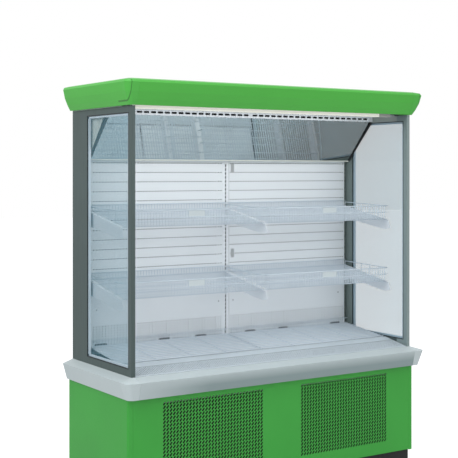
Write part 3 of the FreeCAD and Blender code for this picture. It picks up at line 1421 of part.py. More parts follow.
def return_air_grille():
    """The inlet grille along the front sill: a leaning plate with two rows of openings."""
    deck, thick = num("deck_level"), num("return_plate")
    front, back = depth("return_front"), depth("return_back")
    # the plate leans from the tub's front wall to the fan plate's flange
    sill, ledge = depth("wall_gap"), depth("fan_plate_front - fan_plate_flange")
    slope = num("deck_seat") / (ledge - sill)
    rise = slope * (back - front)
    foot = deck + num("rest_gap") - slope * (sill - front)
    up_slope = V(0, back - front, rise).normalize()
    half = num(f"{INNER} - end_wall_gap")
    long_side = math.hypot(back - front, rise)
    deep = num("return_slot_deep")
    holes = []
    for middle in (long_side * 0.5 - 6, long_side - deep / 2 - 18):
        for _, side in SIDES:
            low, high = sorted((side * 4, side * half))
            for start, end in divided(low, high, int(num("return_slots")), num("return_bridge")):
                holes.append(oblong(start, middle - deep / 2, end, middle + deep / 2))
    leaning = plate(V(0, front, foot), V(1, 0, 0), up_slope, oblong(-half, 0, half, long_side), holes, thick)
    keep("return_air_grille", feature("return_air_grille", leaning))


# ---------------------------------------------------------------- build, check and write

base_frame()
levelling_feet()
base_tray()
kick_plate()
body_panels()
front_rail()
front_grille_panel()
rear_vent_panel()
cable_gland()
insulated_tub()
drain_pipe()
fan_plate()
evaporator_fans()
evaporator_coil()
rear_wall()
roof_panel()
compressor()
condenser()
evaporating_tray()
refrigerant_pipes()
electrical_box()
bumper()
cornice()
end_frames()
back_panels()
shelf_uprights()
air_outlet()
mirror()
canopy_frame()
lamp()
night_curtain()
shelf_brackets()
wire_shelves()
deck_grids()
return_air_grille()

doc.recompute()
for thing in doc.Objects:
    if "Invalid" in thing.State or "Error" in thing.State:
        raise RuntimeError(f"{thing.Name} failed to build: {thing.State}")
for name, thing in subparts.items():
    if thing.Shape.isNull() or not thing.Shape.isValid() or not thing.Shape.Solids:
        raise RuntimeError(f"{name} has no valid solid")

os.makedirs("parts", exist_ok=True)
for name, thing in subparts.items():
    thing.Shape.exportStep(f"parts/{name}.step")
whole = Part.makeCompound([thing.Shape for thing in subparts.values()]).BoundBox
print(f"{len(subparts)} sub-parts, {whole.XLength:.1f} x {whole.YLength:.1f} x {whole.ZLength:.1f} mm")
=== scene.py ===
# %% [markdown]
# # An open multideck display fridge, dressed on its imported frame
#
# The real object is a shop's open-fronted cold cabinet: a green machine base with two slotted
# vents, a grey bumper round it, glass ends in dark aluminium frames, wire shelves on hooked
# brackets, a perforated back duct, a leaning mirror and a green cornice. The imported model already
# has every rigid piece in its place. What is modelled here is what a solid model keeps plain: the
# fine slots, the wires, the perforated sheets and the cloth. Everything is in metres, +Z up, with
# the front towards -Y.

# %% Load the frame
import json
import math
import bmesh
import bpy
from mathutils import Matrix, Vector


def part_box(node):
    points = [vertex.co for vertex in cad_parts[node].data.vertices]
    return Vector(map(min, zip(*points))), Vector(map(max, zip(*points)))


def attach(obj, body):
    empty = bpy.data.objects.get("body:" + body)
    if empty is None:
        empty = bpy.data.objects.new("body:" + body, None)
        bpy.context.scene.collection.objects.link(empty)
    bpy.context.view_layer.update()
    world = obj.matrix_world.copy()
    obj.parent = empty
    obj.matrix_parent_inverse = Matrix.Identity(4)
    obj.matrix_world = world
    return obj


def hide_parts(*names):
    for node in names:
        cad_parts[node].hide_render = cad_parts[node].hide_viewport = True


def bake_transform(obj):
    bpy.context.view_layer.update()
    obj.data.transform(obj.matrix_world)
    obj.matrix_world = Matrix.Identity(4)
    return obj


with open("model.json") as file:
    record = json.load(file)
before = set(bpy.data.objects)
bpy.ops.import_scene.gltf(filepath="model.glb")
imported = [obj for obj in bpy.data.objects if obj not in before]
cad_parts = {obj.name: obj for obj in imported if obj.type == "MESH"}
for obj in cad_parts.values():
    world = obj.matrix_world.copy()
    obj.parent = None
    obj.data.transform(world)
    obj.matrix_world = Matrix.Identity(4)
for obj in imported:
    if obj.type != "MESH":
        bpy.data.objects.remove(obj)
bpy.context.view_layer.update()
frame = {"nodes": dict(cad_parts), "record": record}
nodes = frame["nodes"]

# %% [markdown]
# ## Camera
# The photograph looks level at the cabinet from its front left, through a fairly long lens, with
# the picture window moved down instead of the camera tilted: all the uprights stay parallel. That
# is a level camera with a vertical shift, which keeps the corners of the case upright here too.

# %% Camera
STANDPOINT = (-3.2162, -4.7442, 1.5783)
HEADING = math.radians(-33.03)
bpy.ops.object.camera_add(location=STANDPOINT, rotation=(math.radians(90), 0, HEADING))
camera = bpy.context.object
camera.name = "photo_camera"
camera.data.lens = 87.07
camera.data.sensor_width = 36
camera.data.shift_y = -0.1256
bpy.context.scene.camera = camera
bpy.context.scene.view_settings.view_transform = "Standard"
print("camera at", [round(x, 3) for x in camera.location], "lens", camera.data.lens)

# %% [markdown]
# ## Choosing and shaping
# Every operator acts on all that is selected, so each step starts from nothing selected. These
# helpers add a primitive at its size and place, put that place into its mesh, and pick the faces
# or edges to work on by where they are, as a click in the viewport would.

# %% Helpers for selecting
def deselect_all():
    if bpy.context.object and bpy.context.object.mode != "OBJECT":
        bpy.ops.object.mode_set(mode="OBJECT")
    bpy.ops.object.select_all(action="DESELECT")


def choose(piece):
    """Makes one object the only selected and active one."""
    deselect_all()
    piece.select_set(True)
    bpy.context.view_layer.objects.active = piece
    return piece


def select_where(kind, wanted):
    """In edit mode: selects those of the vertices, edges or faces that are wanted."""
    bpy.ops.mesh.select_mode(type=kind)
    bpy.ops.mesh.select_all(action="DESELECT")
    mesh = bmesh.from_edit_mesh(bpy.context.object.data)
    for element in {"VERT": mesh.verts, "EDGE": mesh.edges, "FACE": mesh.faces}[kind]:
        element.select_set(bool(wanted(element)))
    if kind == "VERT":
        mesh.select_flush_mode()
    bmesh.update_edit_mesh(bpy.context.object.data)


def select_faces(wanted):
    """Faces, by centre and normal."""
    select_where("FACE", lambda face: wanted(face.calc_center_median(), face.normal))


def select_edges(wanted):
    """Edges, by their two ends."""
    select_where("EDGE", lambda edge: wanted(edge.verts[0].co, edge.verts[1].co))


def select_points(wanted):
    """Vertices, by their place."""
    select_where("VERT", lambda point: wanted(point.co))


# %% Helpers for starting and finishing a piece
def settle(piece):
    """Puts an object's place, turn and scale into its mesh."""
    choose(piece)
    bpy.ops.object.transform_apply(location=True, rotation=True, scale=True)
    return piece


def start_block(name, low, high):
    """A block between two corners, to be shaped."""
    deselect_all()
    low, high = Vector(low), Vector(high)
    bpy.ops.mesh.primitive_cube_add(size=1, location=(low + high) / 2)
    piece = bpy.context.object
    piece.name = piece.data.name = name
    piece.scale = high - low
    return settle(piece)


def start_rod(name, start, end, radius, sides=8):
    """A round bar between two points."""
    deselect_all()
    start, end = Vector(start), Vector(end)
    turn = (end - start).to_track_quat("Z", "Y").to_euler()
    bpy.ops.mesh.primitive_cylinder_add(vertices=sides, radius=radius, depth=(end - start).length,
                                        location=(start + end) / 2, rotation=turn)
    piece = bpy.context.object
    piece.name = piece.data.name = name
    return settle(piece)


def repeat(piece, count, step):
    """Copies a shape in a row, as an array that is applied."""
    choose(piece)
    row = piece.modifiers.new("row", "ARRAY")
    row.count = count
    row.use_relative_offset = False
    row.use_constant_offset = True
    row.constant_offset_displace = step
    bpy.ops.object.modifier_apply(modifier="row")
    return piece


def join(name, pieces):
    """Makes several objects one, under one name."""
    choose(pieces[0])
    for other in pieces[1:]:
        other.select_set(True)
    if len(pieces) > 1:
        bpy.ops.object.join()
    piece = bpy.context.object
    piece.name = piece.data.name = name
    return piece


def soften(piece, width, angle=40):
    """A small bevel on the edges that are sharper than an angle in degrees."""
    choose(piece)
    bevel = piece.modifiers.new("edges", "BEVEL")
    bevel.width = width
    bevel.segments = 1
    bevel.limit_method = "ANGLE"
    bevel.angle_limit = math.radians(angle)
    bpy.ops.object.modifier_apply(modifier="edges")
    return piece


def smooth(piece, angle=35):
    """Shades the faces as one curve where they meet at less than an angle in degrees."""
    choose(piece)
    bpy.ops.object.shade_smooth_by_angle(angle=math.radians(angle))
    return piece


def outward(piece):
    """Merges doubled points and turns every face outwards."""
    choose(piece)
    bpy.ops.object.mode_set(mode="EDIT")
    bpy.ops.mesh.select_all(action="SELECT")
    bpy.ops.mesh.remove_doubles(threshold=0.00002)
    bpy.ops.mesh.normals_make_consistent(inside=False)
    bpy.ops.object.mode_set(mode="OBJECT")
    return piece


made = {}


def fit(piece, body, material, slot, *replaced):
    """The piece gets its finish, moves with its body and stands for the nodes it replaces."""
    piece.data.materials.clear()
    piece.data.materials.append(material)
    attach(piece, body)
    if replaced:
        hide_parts(*replaced)
    made[piece.name] = len(piece.data.polygons)
    print(f"{piece.name}: {len(piece.data.polygons)} faces, rides {body}")


# %% [markdown]
# ## Finishes
# No surface on a real cabinet is one flat colour. Powder coat has orange peel and slight clouding,
# galvanised sheet has spangle, extruded aluminium is drawn along its length, moulded plastic has a
# fine grain. Each finish is a Principled shader whose colour, roughness and bump come from a few
# noise, Voronoi or wave textures on the object's own coordinates, so the scale is in metres and
# nothing slides when a piece moves.

# %% Building blocks for a finish
def tint(red, green, blue):
    """A colour written as on a screen, 0 to 255, as the linear values a shader takes."""
    def linear(value):
        value = value / 255
        return value / 12.92 if value <= 0.04045 else ((value + 0.055) / 1.055) ** 2.4
    return (linear(red), linear(green), linear(blue), 1.0)


def shade(colour, factor):
    """The same colour, lighter or darker by a factor."""
    return tuple(min(1.0, channel * factor) for channel in colour[:3]) + (1.0,)


# A wave texture of scale 1 has a new band every 0.314 m.
WAVE_SPAN = 0.314
finishes = {}


class Finish:
    """A material under construction: its shader, and the textures that drive it."""

    def __init__(self, name, colour, roughness, metallic=0.0):
        self.material = bpy.data.materials.new(name)
        self.material.use_nodes = True
        self.tree = self.material.node_tree
        finishes[name] = self.material
        self.shader = self.tree.nodes["Principled BSDF"]
        self.colour = colour
        self.shader.inputs["Base Color"].default_value = colour
        self.shader.inputs["Roughness"].default_value = roughness
        self.shader.inputs["Metallic"].default_value = metallic
        self.base = None
        self.bumped = None

    def node(self, kind, **values):
        """A new shader node, with its settings and sockets given by name."""
        made_node = self.tree.nodes.new("ShaderNode" + kind)
        for key, value in values.items():
            if hasattr(made_node, key):
                setattr(made_node, key, value)
            else:
                made_node.inputs[key.replace("_", " ")].default_value = value
        return made_node

    def link(self, source, target):
        self.tree.links.new(source, target)

    def place(self, stretch=(1, 1, 1)):
        """Object coordinates, stretched along an axis where the grain runs."""
        where = self.node("TexCoord")
        mapping = self.node("Mapping")
        mapping.inputs["Scale"].default_value = stretch
        self.link(where.outputs["Object"], mapping.inputs["Vector"])
        return mapping.outputs["Vector"]

    def noise(self, scale, detail=3.0, stretch=(1, 1, 1), roughness=0.5):
        texture = self.node("TexNoise", Scale=scale, Detail=detail, Roughness=roughness)
        self.link(self.place(stretch), texture.inputs["Vector"])
        return texture.outputs["Fac"]

    def cells(self, scale):
        texture = self.node("TexVoronoi", Scale=scale)
        self.link(self.place(), texture.inputs["Vector"])
        return texture

    def wave(self, direction, spacing):
        """Soft bands across one axis, a new one every so many metres."""
        bands = self.node("TexWave", wave_type="BANDS", bands_direction=direction, Scale=WAVE_SPAN / spacing)
        self.link(self.place(), bands.inputs["Vector"])
        return bands.outputs["Fac"]

    def product(self, first, second):
        """One texture as strong as another lets it be; the second may be a plain number."""
        both = self.node("Math", operation="MULTIPLY")
        self.link(first, both.inputs[0])
        if isinstance(second, float):
            both.inputs[1].default_value = second
        else:
            self.link(second, both.inputs[1])
        return both.outputs[0]

    def within(self, low, high):
        """One inside a box of the object's own coordinates, nought outside it."""
        low, high = Vector(low), Vector(high)
        away = self.node("VectorMath", operation="SUBTRACT")
        away.inputs[1].default_value = (low + high) / 2
        self.link(self.place(), away.inputs[0])
        reach = self.node("VectorMath", operation="ABSOLUTE")
        self.link(away.outputs["Vector"], reach.inputs[0])
        split = self.node("SeparateXYZ")
        self.link(reach.outputs["Vector"], split.inputs[0])
        inside = None
        for axis in range(3):
            near = self.node("Math", operation="LESS_THAN")
            near.inputs[1].default_value = (high - low)[axis] / 2
            self.link(split.outputs[axis], near.inputs[0])
            inside = near.outputs[0] if inside is None else self.product(inside, near.outputs[0])
        return inside

    def fade(self, axis, start, end, box):
        """Rises from nought to one along an axis, inside a box only."""
        split = self.node("SeparateXYZ")
        self.link(self.place(), split.inputs[0])
        return self.product(self.ramp(split.outputs[axis], start, end), self.within(*box))

    def ramp(self, source, low, high):
        """Spreads the part of a texture between low and high over 0 to 1."""
        spread = self.node("MapRange")
        spread.inputs["From Min"].default_value = low
        spread.inputs["From Max"].default_value = high
        self.link(source, spread.inputs["Value"])
        return spread.outputs["Result"]

    def over(self, colour, factor):
        """Lays another colour over what is there, as strongly as the texture says."""
        mix = self.node("Mix", data_type="RGBA")
        if self.base is None:
            mix.inputs[6].default_value = self.colour
        else:
            self.link(self.base, mix.inputs[6])
        mix.inputs[7].default_value = colour
        self.link(factor, mix.inputs[0])
        self.base = mix.outputs[2]
        self.link(self.base, self.shader.inputs["Base Color"])

    def vary_roughness(self, source, low, high):
        spread = self.node("MapRange")
        spread.inputs["To Min"].default_value = low
        spread.inputs["To Max"].default_value = high
        self.link(source, spread.inputs["Value"])
        self.link(spread.outputs["Result"], self.shader.inputs["Roughness"])

    def bump(self, source, height):
        """Raises the surface by up to height metres."""
        node = self.node("Bump")
        node.inputs["Distance"].default_value = height
        node.inputs["Strength"].default_value = 1.0
        self.link(source, node.inputs["Height"])
        if self.bumped is not None:
            self.link(self.bumped, node.inputs["Normal"])
        self.bumped = node.outputs["Normal"]
        self.link(self.bumped, self.shader.inputs["Normal"])


# %% [markdown]
# ### Coated and moulded surfaces
# Powder coat, gloss cornice plastic and the textured bumper plastic differ in how fine their skin
# is, how much it clouds and how glossy it is, so one recipe with those three as values serves them.

# %% Coats and plastics
def coat(slot, colour, roughness, peel=0.00012, peel_scale=260, cloud=0.12, scuffs=0.25):
    """A skin with clouding, rubbed marks and a fine peel."""
    finish = Finish(slot, colour, roughness)
    clouds = finish.noise(2.2, 4)
    grain = finish.noise(peel_scale, 2)
    marks = finish.ramp(finish.noise(38, 6, (1, 1, 0.35), 0.62), 0.62, 0.86)
    finish.over(shade(colour, 1 - cloud), finish.ramp(clouds, 0.35, 0.75))
    finish.over(shade(colour, 1 + cloud), finish.ramp(finish.noise(0.9, 2), 0.5, 0.9))
    finish.over(shade(colour, 0.72), finish.product(marks, scuffs))
    finish.vary_roughness(grain, roughness * 0.8, min(1.0, roughness * 1.25))
    finish.bump(grain, peel)
    finish.shader.inputs["Specular IOR Level"].default_value = 0.5
    return finish


# A thin dark line runs round each corner of the cornice.
LINE_X, LINE_HALF = 0.868, 0.0018
for slot, colour in (("cornice_green", tint(78, 183, 68)), ("cornice_corner_green", tint(80, 184, 72))):
    moulded = coat(slot, colour, 0.3, peel=0.00005, cloud=0.08)
    for x in (-LINE_X, LINE_X):
        line = moulded.within((x - LINE_HALF, -0.4, 1.85), (x + LINE_HALF, -0.2, 2.05))
        moulded.over(shade(colour, 0.45), line)

# In the photograph the bumper's face is in shade towards its foot, but for its left end. The even
# light here doesn't give that shade, so the finish does.
BUMPER_FACE = ((-0.9, -0.36, 0.5), (0.9, -0.3135, 0.7))
bumper = coat("bumper_grey", tint(194, 206, 209), 0.46, peel=0.0001, peel_scale=480, cloud=0.05)
towards_foot = bumper.fade(2, 0.626, 0.575, BUMPER_FACE)
past_left_end = bumper.fade(0, -0.87, -0.45, BUMPER_FACE)
bumper.over(tint(142, 159, 161), bumper.product(towards_foot, past_left_end))

# %% The other coats
coat("body_green", tint(57, 168, 60), 0.42)
coat("bumper_corner_grey", tint(198, 210, 213), 0.46, peel=0.0001, peel_scale=480, cloud=0.05)
coat("liner_white", tint(240, 246, 250), 0.4, cloud=0.04)
coat("shelf_white", tint(232, 238, 244), 0.36, cloud=0.04)
coat("grille_white", tint(202, 214, 222), 0.36, cloud=0.04)
coat("label_clear", tint(208, 220, 224), 0.3, cloud=0.03)
coat("shelf_wire", tint(212, 224, 234), 0.32, peel=0.00004, cloud=0.05)
coat("trim_cream", tint(220, 225, 217), 0.4, cloud=0.05)
lit = coat("lamp_cream", tint(240, 240, 224), 0.35, peel=0.00003, cloud=0.03, scuffs=0.08)
lit.shader.inputs["Emission Color"].default_value = tint(250, 250, 240)
lit.shader.inputs["Emission Strength"].default_value = 0.35
coat("lamp_cap_grey", tint(206, 209, 202), 0.5, cloud=0.06)
coat("plinth_black", tint(34, 35, 36), 0.55, cloud=0.2)
coat("frame_steel", tint(52, 54, 57), 0.5, cloud=0.2, scuffs=0.5)
coat("compressor_black", tint(24, 25, 27), 0.34, peel=0.0002, peel_scale=140, cloud=0.2, scuffs=0.4)
coat("black_plastic", tint(28, 29, 30), 0.5, peel_scale=700, cloud=0.1)
coat("fan_plastic", tint(38, 39, 41), 0.42, peel_scale=700, cloud=0.1)
coat("foot_rubber", tint(26, 26, 27), 0.8, peel=0.0003, peel_scale=400, cloud=0.2)
coat("control_grey", tint(176, 181, 184), 0.45)
coat("switch_plastic", tint(30, 32, 34), 0.3, peel_scale=900, cloud=0.05)
coat("drain_plastic", tint(190, 193, 194), 0.5, peel_scale=600, cloud=0.1)

# %% Foamed walls
# They are white outside, with two joints drawn on the back; in the duct and in the tub their faces
# are laid dark grey as painted shade.
DUCT_AND_TUB_SHADE = tint(50, 55, 60)
DUCT = ((-0.8240, 0.2300, 0.5160), (0.8240, 0.2845, 1.6400))
TUB = ((-0.8236, -0.2360, 0.5140), (0.8236, 0.2300, 0.6380))
JOINT_X, JOINT_HALF = 0.2745, 0.0009
walls = coat("insulated_wall", tint(206, 212, 216), 0.45, cloud=0.03)
walls.over(DUCT_AND_TUB_SHADE, walls.within(*DUCT))
for x in (-JOINT_X, JOINT_X):
    joint = walls.within((x - JOINT_HALF, 0.3425, 0.5200), (x + JOINT_HALF, 0.3445, 1.8800))
    walls.over(tint(118, 124, 128), joint)
walls.over(DUCT_AND_TUB_SHADE, walls.within(*TUB))
print("coats:", len(finishes))


# %% [markdown]
# ### Metals
# Galvanised sheet is zinc crystals a few millimetres across, each turned a little differently, so
# Voronoi cells change both colour and roughness. Extruded aluminium shows die lines along its
# length: noise stretched a hundredfold. Copper is smooth with brown tarnish. A fin pack is a
# stack of thin plates, drawn with a wave along the coil where the solid has only a comb.

# %% Metals
def galvanised(slot, colour):
    """Zinc crystals, each of its own grey."""
    finish = Finish(slot, colour, 0.42, 0.85)
    crystals = finish.cells(90)
    finish.over(shade(colour, 0.74), finish.ramp(crystals.outputs["Distance"], 0.1, 0.9))
    grey = finish.node("SeparateColor")
    finish.link(crystals.outputs["Color"], grey.inputs[0])
    finish.over(shade(colour, 1.18), finish.ramp(grey.outputs[0], 0.55, 1.2))
    finish.vary_roughness(grey.outputs[1], 0.32, 0.55)
    finish.bump(finish.noise(300, 2), 0.00004)


def drawn_metal(slot, colour, roughness, stretch, metallic=1.0):
    """Metal with lines along its length, where stretch is smallest."""
    finish = Finish(slot, colour, roughness, metallic)
    lines = finish.noise(520, 3, stretch)
    finish.over(shade(colour, 0.82), finish.ramp(lines, 0.4, 0.8))
    finish.over(shade(colour, 1.12), finish.ramp(finish.noise(3, 3), 0.5, 0.8))
    finish.vary_roughness(lines, roughness * 0.75, roughness * 1.3)
    finish.bump(lines, 0.00003)
    return finish


galvanised("galvanised", tint(178, 184, 188))
drawn_metal("bar_aluminium", tint(188, 192, 196), 0.3, (0.01, 1, 1))
# The photograph's light falls on the inside of the right end, so its front post, its rear post and
# its top rail look paler there. The finish does that here, because the light is more even.
RIGHT_END = ((tint(138, 154, 154), (0.6, -0.3, 0.6), (0.9, -0.2, 1.9)),
             (tint(126, 140, 137), (0.6, 0.15, 0.6), (0.95, 0.4, 1.9)),
             (tint(168, 176, 170), (0.815, -0.2, 1.845), (0.86, 0.2, 1.95)))
end_frame = drawn_metal("end_frame_grey", tint(78, 94, 93), 0.42, (1, 1, 0.01), 0.2)
for colour, low, high in RIGHT_END:
    end_frame.over(colour, end_frame.within(low, high))


# %% Copper and fins
def copper(slot):
    finish = drawn_metal(slot, tint(184, 112, 78), 0.3, (1, 1, 1))
    finish.over(tint(96, 58, 42), finish.ramp(finish.noise(60, 5), 0.5, 0.75))


def finned(slot, fin_pitch):
    """Thin plates standing across X, with the light catching each edge."""
    finish = Finish(slot, tint(176, 184, 190), 0.35, 0.9)
    fins = finish.wave("X", fin_pitch)
    finish.over(tint(70, 76, 82), finish.ramp(fins, 0.35, 0.75))
    finish.bump(fins, 0.0008)
    finish.vary_roughness(finish.noise(40, 4), 0.28, 0.5)


copper("copper")
finned("coil_fins", 0.0035)
print("coats and metals:", len(finishes))


# %% [markdown]
# ### Glass, mirror and cloth
# The ends are sealed double panes. Seen through, they lay a pale blue veil over what is behind, and
# that is all a photograph shows of them, so the pane is a mostly transparent, very smooth surface
# rather than a refracting block, which would throw noisy caustics on the shelves. The mirror is a
# metal of almost no roughness with a faint green cast. The night curtain is a coated weave: two
# crossed waves a millimetre apart.

# %% Glass, mirror and cloth
RIGHT_PANE = ((0.5, -1, 0), (1.0, 1, 2))
MIRROR_BOX = ((-1, -1, 1), (1, 1, 2))


def glass(slot):
    """A clear veil, made denser on the right pane as painted light."""
    finish = Finish(slot, tint(96, 150, 168), 0.04)
    smears = finish.noise(9, 5)
    finish.over(tint(104, 156, 172), finish.ramp(smears, 0.35, 0.8))
    finish.vary_roughness(finish.noise(30, 5), 0.02, 0.08)
    # Painted light: the veil is denser on the right pane.
    veil = finish.node("MapRange")
    veil.inputs["To Min"].default_value = 0.21
    veil.inputs["To Max"].default_value = 0.31
    finish.link(finish.within(*RIGHT_PANE), veil.inputs["Value"])
    finish.link(veil.outputs["Result"], finish.shader.inputs["Alpha"])
    finish.shader.inputs["Specular IOR Level"].default_value = 0.5
    finish.material.surface_render_method = "BLENDED"


def mirror(slot):
    """Silvered glass, greyer towards its right end as a painted reflection."""
    finish = Finish(slot, tint(218, 226, 225), 0.02, 1.0)
    finish.over(tint(208, 216, 215), finish.ramp(finish.noise(3, 3), 0.4, 0.8))
    # Painted reflection: the right end of the mirror is laid greyer.
    finish.over(tint(186, 188, 186), finish.fade(0, 0.05, 0.45, MIRROR_BOX))
    finish.vary_roughness(finish.noise(24, 4), 0.01, 0.05)


def woven(slot, colour, thread):
    finish = Finish(slot, colour, 0.7)
    crossed = finish.product(finish.wave("X", thread), finish.wave("Z", thread))
    finish.over(shade(colour, 0.8), crossed)
    finish.over(shade(colour, 1.1), finish.ramp(finish.noise(5, 4), 0.5, 0.8))
    finish.bump(crossed, 0.0002)
    finish.shader.inputs["Sheen Weight"].default_value = 0.2


glass("glass")
mirror("mirror")
woven("curtain_cloth", tint(196, 200, 204), 0.0011)
missing = [m["slot"] for m in frame["record"]["materials"] if m["slot"] not in finishes]
print("finishes:", len(finishes), "still missing:", missing)


# %% [markdown]
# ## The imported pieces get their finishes
# The record says which finish each node has, so one loop dresses all of them. Their meshes stay as
# they are.

# %% Dress the nodes
slot_of = {row["node"]: row["material_slot"] for row in frame["record"]["subparts"]}
for name, node in nodes.items():
    node.data.materials.clear()
    node.data.materials.append(finishes[slot_of[name]])
print("dressed:", len(slot_of))


# %% [markdown]
# ## Perforated sheet
# The front cover, the inlet grille and the back panels are all punched sheet. A hole is punched
# once: a small square of sheet with the outline of the punch bridged into it. Copies of that square
# in a row, and of the row up the sheet, make the field; its outer edges are then pulled out to the
# sheet's own edges, and Solidify gives the gauge.

# %% A punched cell
def punched_cell(name, wide, tall, long_side, narrow, lean, points=8):
    """A flat cell in XZ round the origin with an oblong hole, its long side leaning from upright."""
    deselect_all()
    bpy.ops.mesh.primitive_circle_add(vertices=points, radius=narrow / 2, fill_type="NOTHING",
                                      rotation=(math.radians(90), math.radians(180 / points), 0))
    cell = settle(bpy.context.object)
    bpy.ops.object.mode_set(mode="EDIT")
    for way in (-1, 1):
        select_points(lambda co, way=way: co.z * way > 0)
        bpy.ops.transform.translate(value=(0, 0, way * (long_side - narrow) / 2))
    bpy.ops.mesh.select_all(action="SELECT")
    if lean:
        bpy.ops.transform.rotate(value=math.radians(lean), orient_axis="Y", center_override=(0, 0, 0))
    bpy.ops.mesh.primitive_plane_add(size=1, rotation=(math.radians(90), 0, 0))
    bpy.ops.transform.resize(value=(wide, 1, tall), center_override=(0, 0, 0))
    bpy.ops.mesh.delete(type="ONLY_FACE")
    bpy.ops.mesh.select_mode(type="EDGE")
    bpy.ops.mesh.select_all(action="SELECT")
    bpy.ops.mesh.bridge_edge_loops()
    bpy.ops.object.mode_set(mode="OBJECT")
    cell.name = cell.data.name = name
    return cell


# Points nearer than this are taken to be one, in metres.
TOUCH = 0.00001


def pull_edges(axis, at, shift):
    """In edit mode: extrudes the edges that lie at one place along an axis."""
    select_edges(lambda a, b: abs(a[axis] - at) < TOUCH and abs(b[axis] - at) < TOUCH)
    bpy.ops.mesh.extrude_region_move(TRANSFORM_OT_translate={"value": shift})


# %% A punched sheet
def punched_sheet(name, field, sheet, columns, rows, punch, lean=0, points=8):
    """A sheet in XZ at y 0. Field and sheet are (low x, low z, high x, high z), punch is (long, wide)."""
    wide, tall = (field[2] - field[0]) / columns, (field[3] - field[1]) / rows
    piece = punched_cell(name, wide, tall, punch[0], punch[1], lean, points)
    piece.location = (field[0] + wide / 2, 0, field[1] + tall / 2)
    settle(piece)
    repeat(piece, columns, (wide, 0, 0))
    repeat(piece, rows, (0, 0, tall))
    bpy.ops.object.mode_set(mode="EDIT")
    bpy.ops.mesh.select_all(action="SELECT")
    bpy.ops.mesh.remove_doubles(threshold=TOUCH)
    for axis, corner in ((0, 0), (0, 2), (2, 1), (2, 3)):
        shift = [0, 0, 0]
        shift[axis] = sheet[corner] - field[corner]
        if abs(shift[axis]) > TOUCH:
            pull_edges(axis, field[corner], shift)
    bpy.ops.object.mode_set(mode="OBJECT")
    return piece


def thicken(piece, gauge, offset=-1):
    """Gives a sheet its gauge: behind its face, or half to each side with an offset of 0."""
    choose(piece)
    sheet = piece.modifiers.new("gauge", "SOLIDIFY")
    sheet.thickness = gauge
    sheet.offset = offset
    bpy.ops.object.modifier_apply(modifier="gauge")
    return piece


# %% [markdown]
# ## Front cover
# The cover lifts off for cleaning the condenser. Its two vents are fields of leaning slots, 32
# across, that run on from row to row as diagonal lines. Each half is punched by itself; the halves
# are joined at the middle, and the outer edges are folded back.

# %% Front cover
low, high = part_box("front_grille_panel")
GAUGE = 0.0015
VENT_X, VENT_Z = (0.115, 0.680), (0.150, 0.512)
VENT_COLUMNS, VENT_ROWS = 32, 21
halves = []
for side in (-1, 1):
    inner, outer = sorted(side * x for x in VENT_X)
    left, right = sorted((0, side * high.x))
    field = (inner, VENT_Z[0], outer, VENT_Z[1])
    sheet = (left, low.z, right, high.z)
    halves.append(punched_sheet(f"cover_half_{side}", field, sheet, VENT_COLUMNS, VENT_ROWS,
                                (0.0194, 0.0094), lean=-40))
cover = join("front_cover_sheet", halves)
cover.location = (0, low.y, 0)
settle(cover)
bpy.ops.object.mode_set(mode="EDIT")
bpy.ops.mesh.select_all(action="SELECT")
bpy.ops.mesh.remove_doubles(threshold=TOUCH)
for axis, at in ((0, low.x), (0, high.x), (2, low.z)):
    pull_edges(axis, at, (0, high.y - low.y, 0))
bpy.ops.object.mode_set(mode="OBJECT")
outward(cover)
thicken(cover, GAUGE)
fit(cover, "front_cover", finishes["body_green"], "body_green", "front_grille_panel")

# %% Dark mats behind the slots, as painted shade
# Two black open-cell mats behind the vents are painted shade, and come off with the cover.
shade_mat_finish = Finish("filter_foam", tint(18, 22, 19), 0.95)
shade_mat_finish.over(tint(34, 40, 35), shade_mat_finish.ramp(shade_mat_finish.noise(420, 2), 0.5, 0.8))
shade_mat_finish.bump(shade_mat_finish.noise(420, 2), 0.0008)
MAT_FRONT, MAT_BACK = low.y + 0.0019, low.y + 0.0099
MAT_LAP = 0.010
for side, end in ((-1, "left"), (1, "right")):
    inner, outer = sorted((side * (VENT_X[0] - MAT_LAP), side * (VENT_X[1] + MAT_LAP)))
    mat = start_block(f"shade_mat_{end}", (inner, MAT_FRONT, VENT_Z[0] - MAT_LAP),
                      (outer, MAT_BACK, VENT_Z[1] - 0.007))
    fit(mat, "front_cover", shade_mat_finish.material, "foot_rubber")

# %% [markdown]
# ## Inlet grille
# Air goes back to the coil through the grille along the front sill. It is a leaning plate with
# small round holes all over. It is punched flat and then tipped up to lie on its two seats.

# %% Inlet grille
low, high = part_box("return_air_grille")
# The plate's own gauge takes a little off the run and the rise of its box.
run, rise = high.y - low.y - 0.001, high.z - low.z - 0.0022
length = math.hypot(run, rise)
field = (low.x + 0.016, 0.010, high.x - 0.016, length - 0.064)
sheet = (low.x, 0, high.x, length)
grille = punched_sheet("inlet_grille_sheet", field, sheet, 135, 8, (0.0082, 0.0078), points=6)
lay_back = math.radians(90) - math.atan2(rise, run)
bpy.ops.object.mode_set(mode="EDIT")
bpy.ops.mesh.select_all(action="SELECT")
bpy.ops.transform.rotate(value=lay_back, orient_axis="X", center_override=(0, 0, 0))
bpy.ops.object.mode_set(mode="OBJECT")
outward(grille)
thicken(grille, GAUGE, 0)
measured = [v.co for v in grille.data.vertices]
foot_y, foot_z = min(p.y for p in measured), min(p.z for p in measured)
grille.location = (0, low.y - foot_y + 0.0004, low.z - foot_z + 0.0003)
settle(grille)
fit(grille, "inlet_grille", finishes["grille_white"], slot_of["return_air_grille"], "return_air_grille")

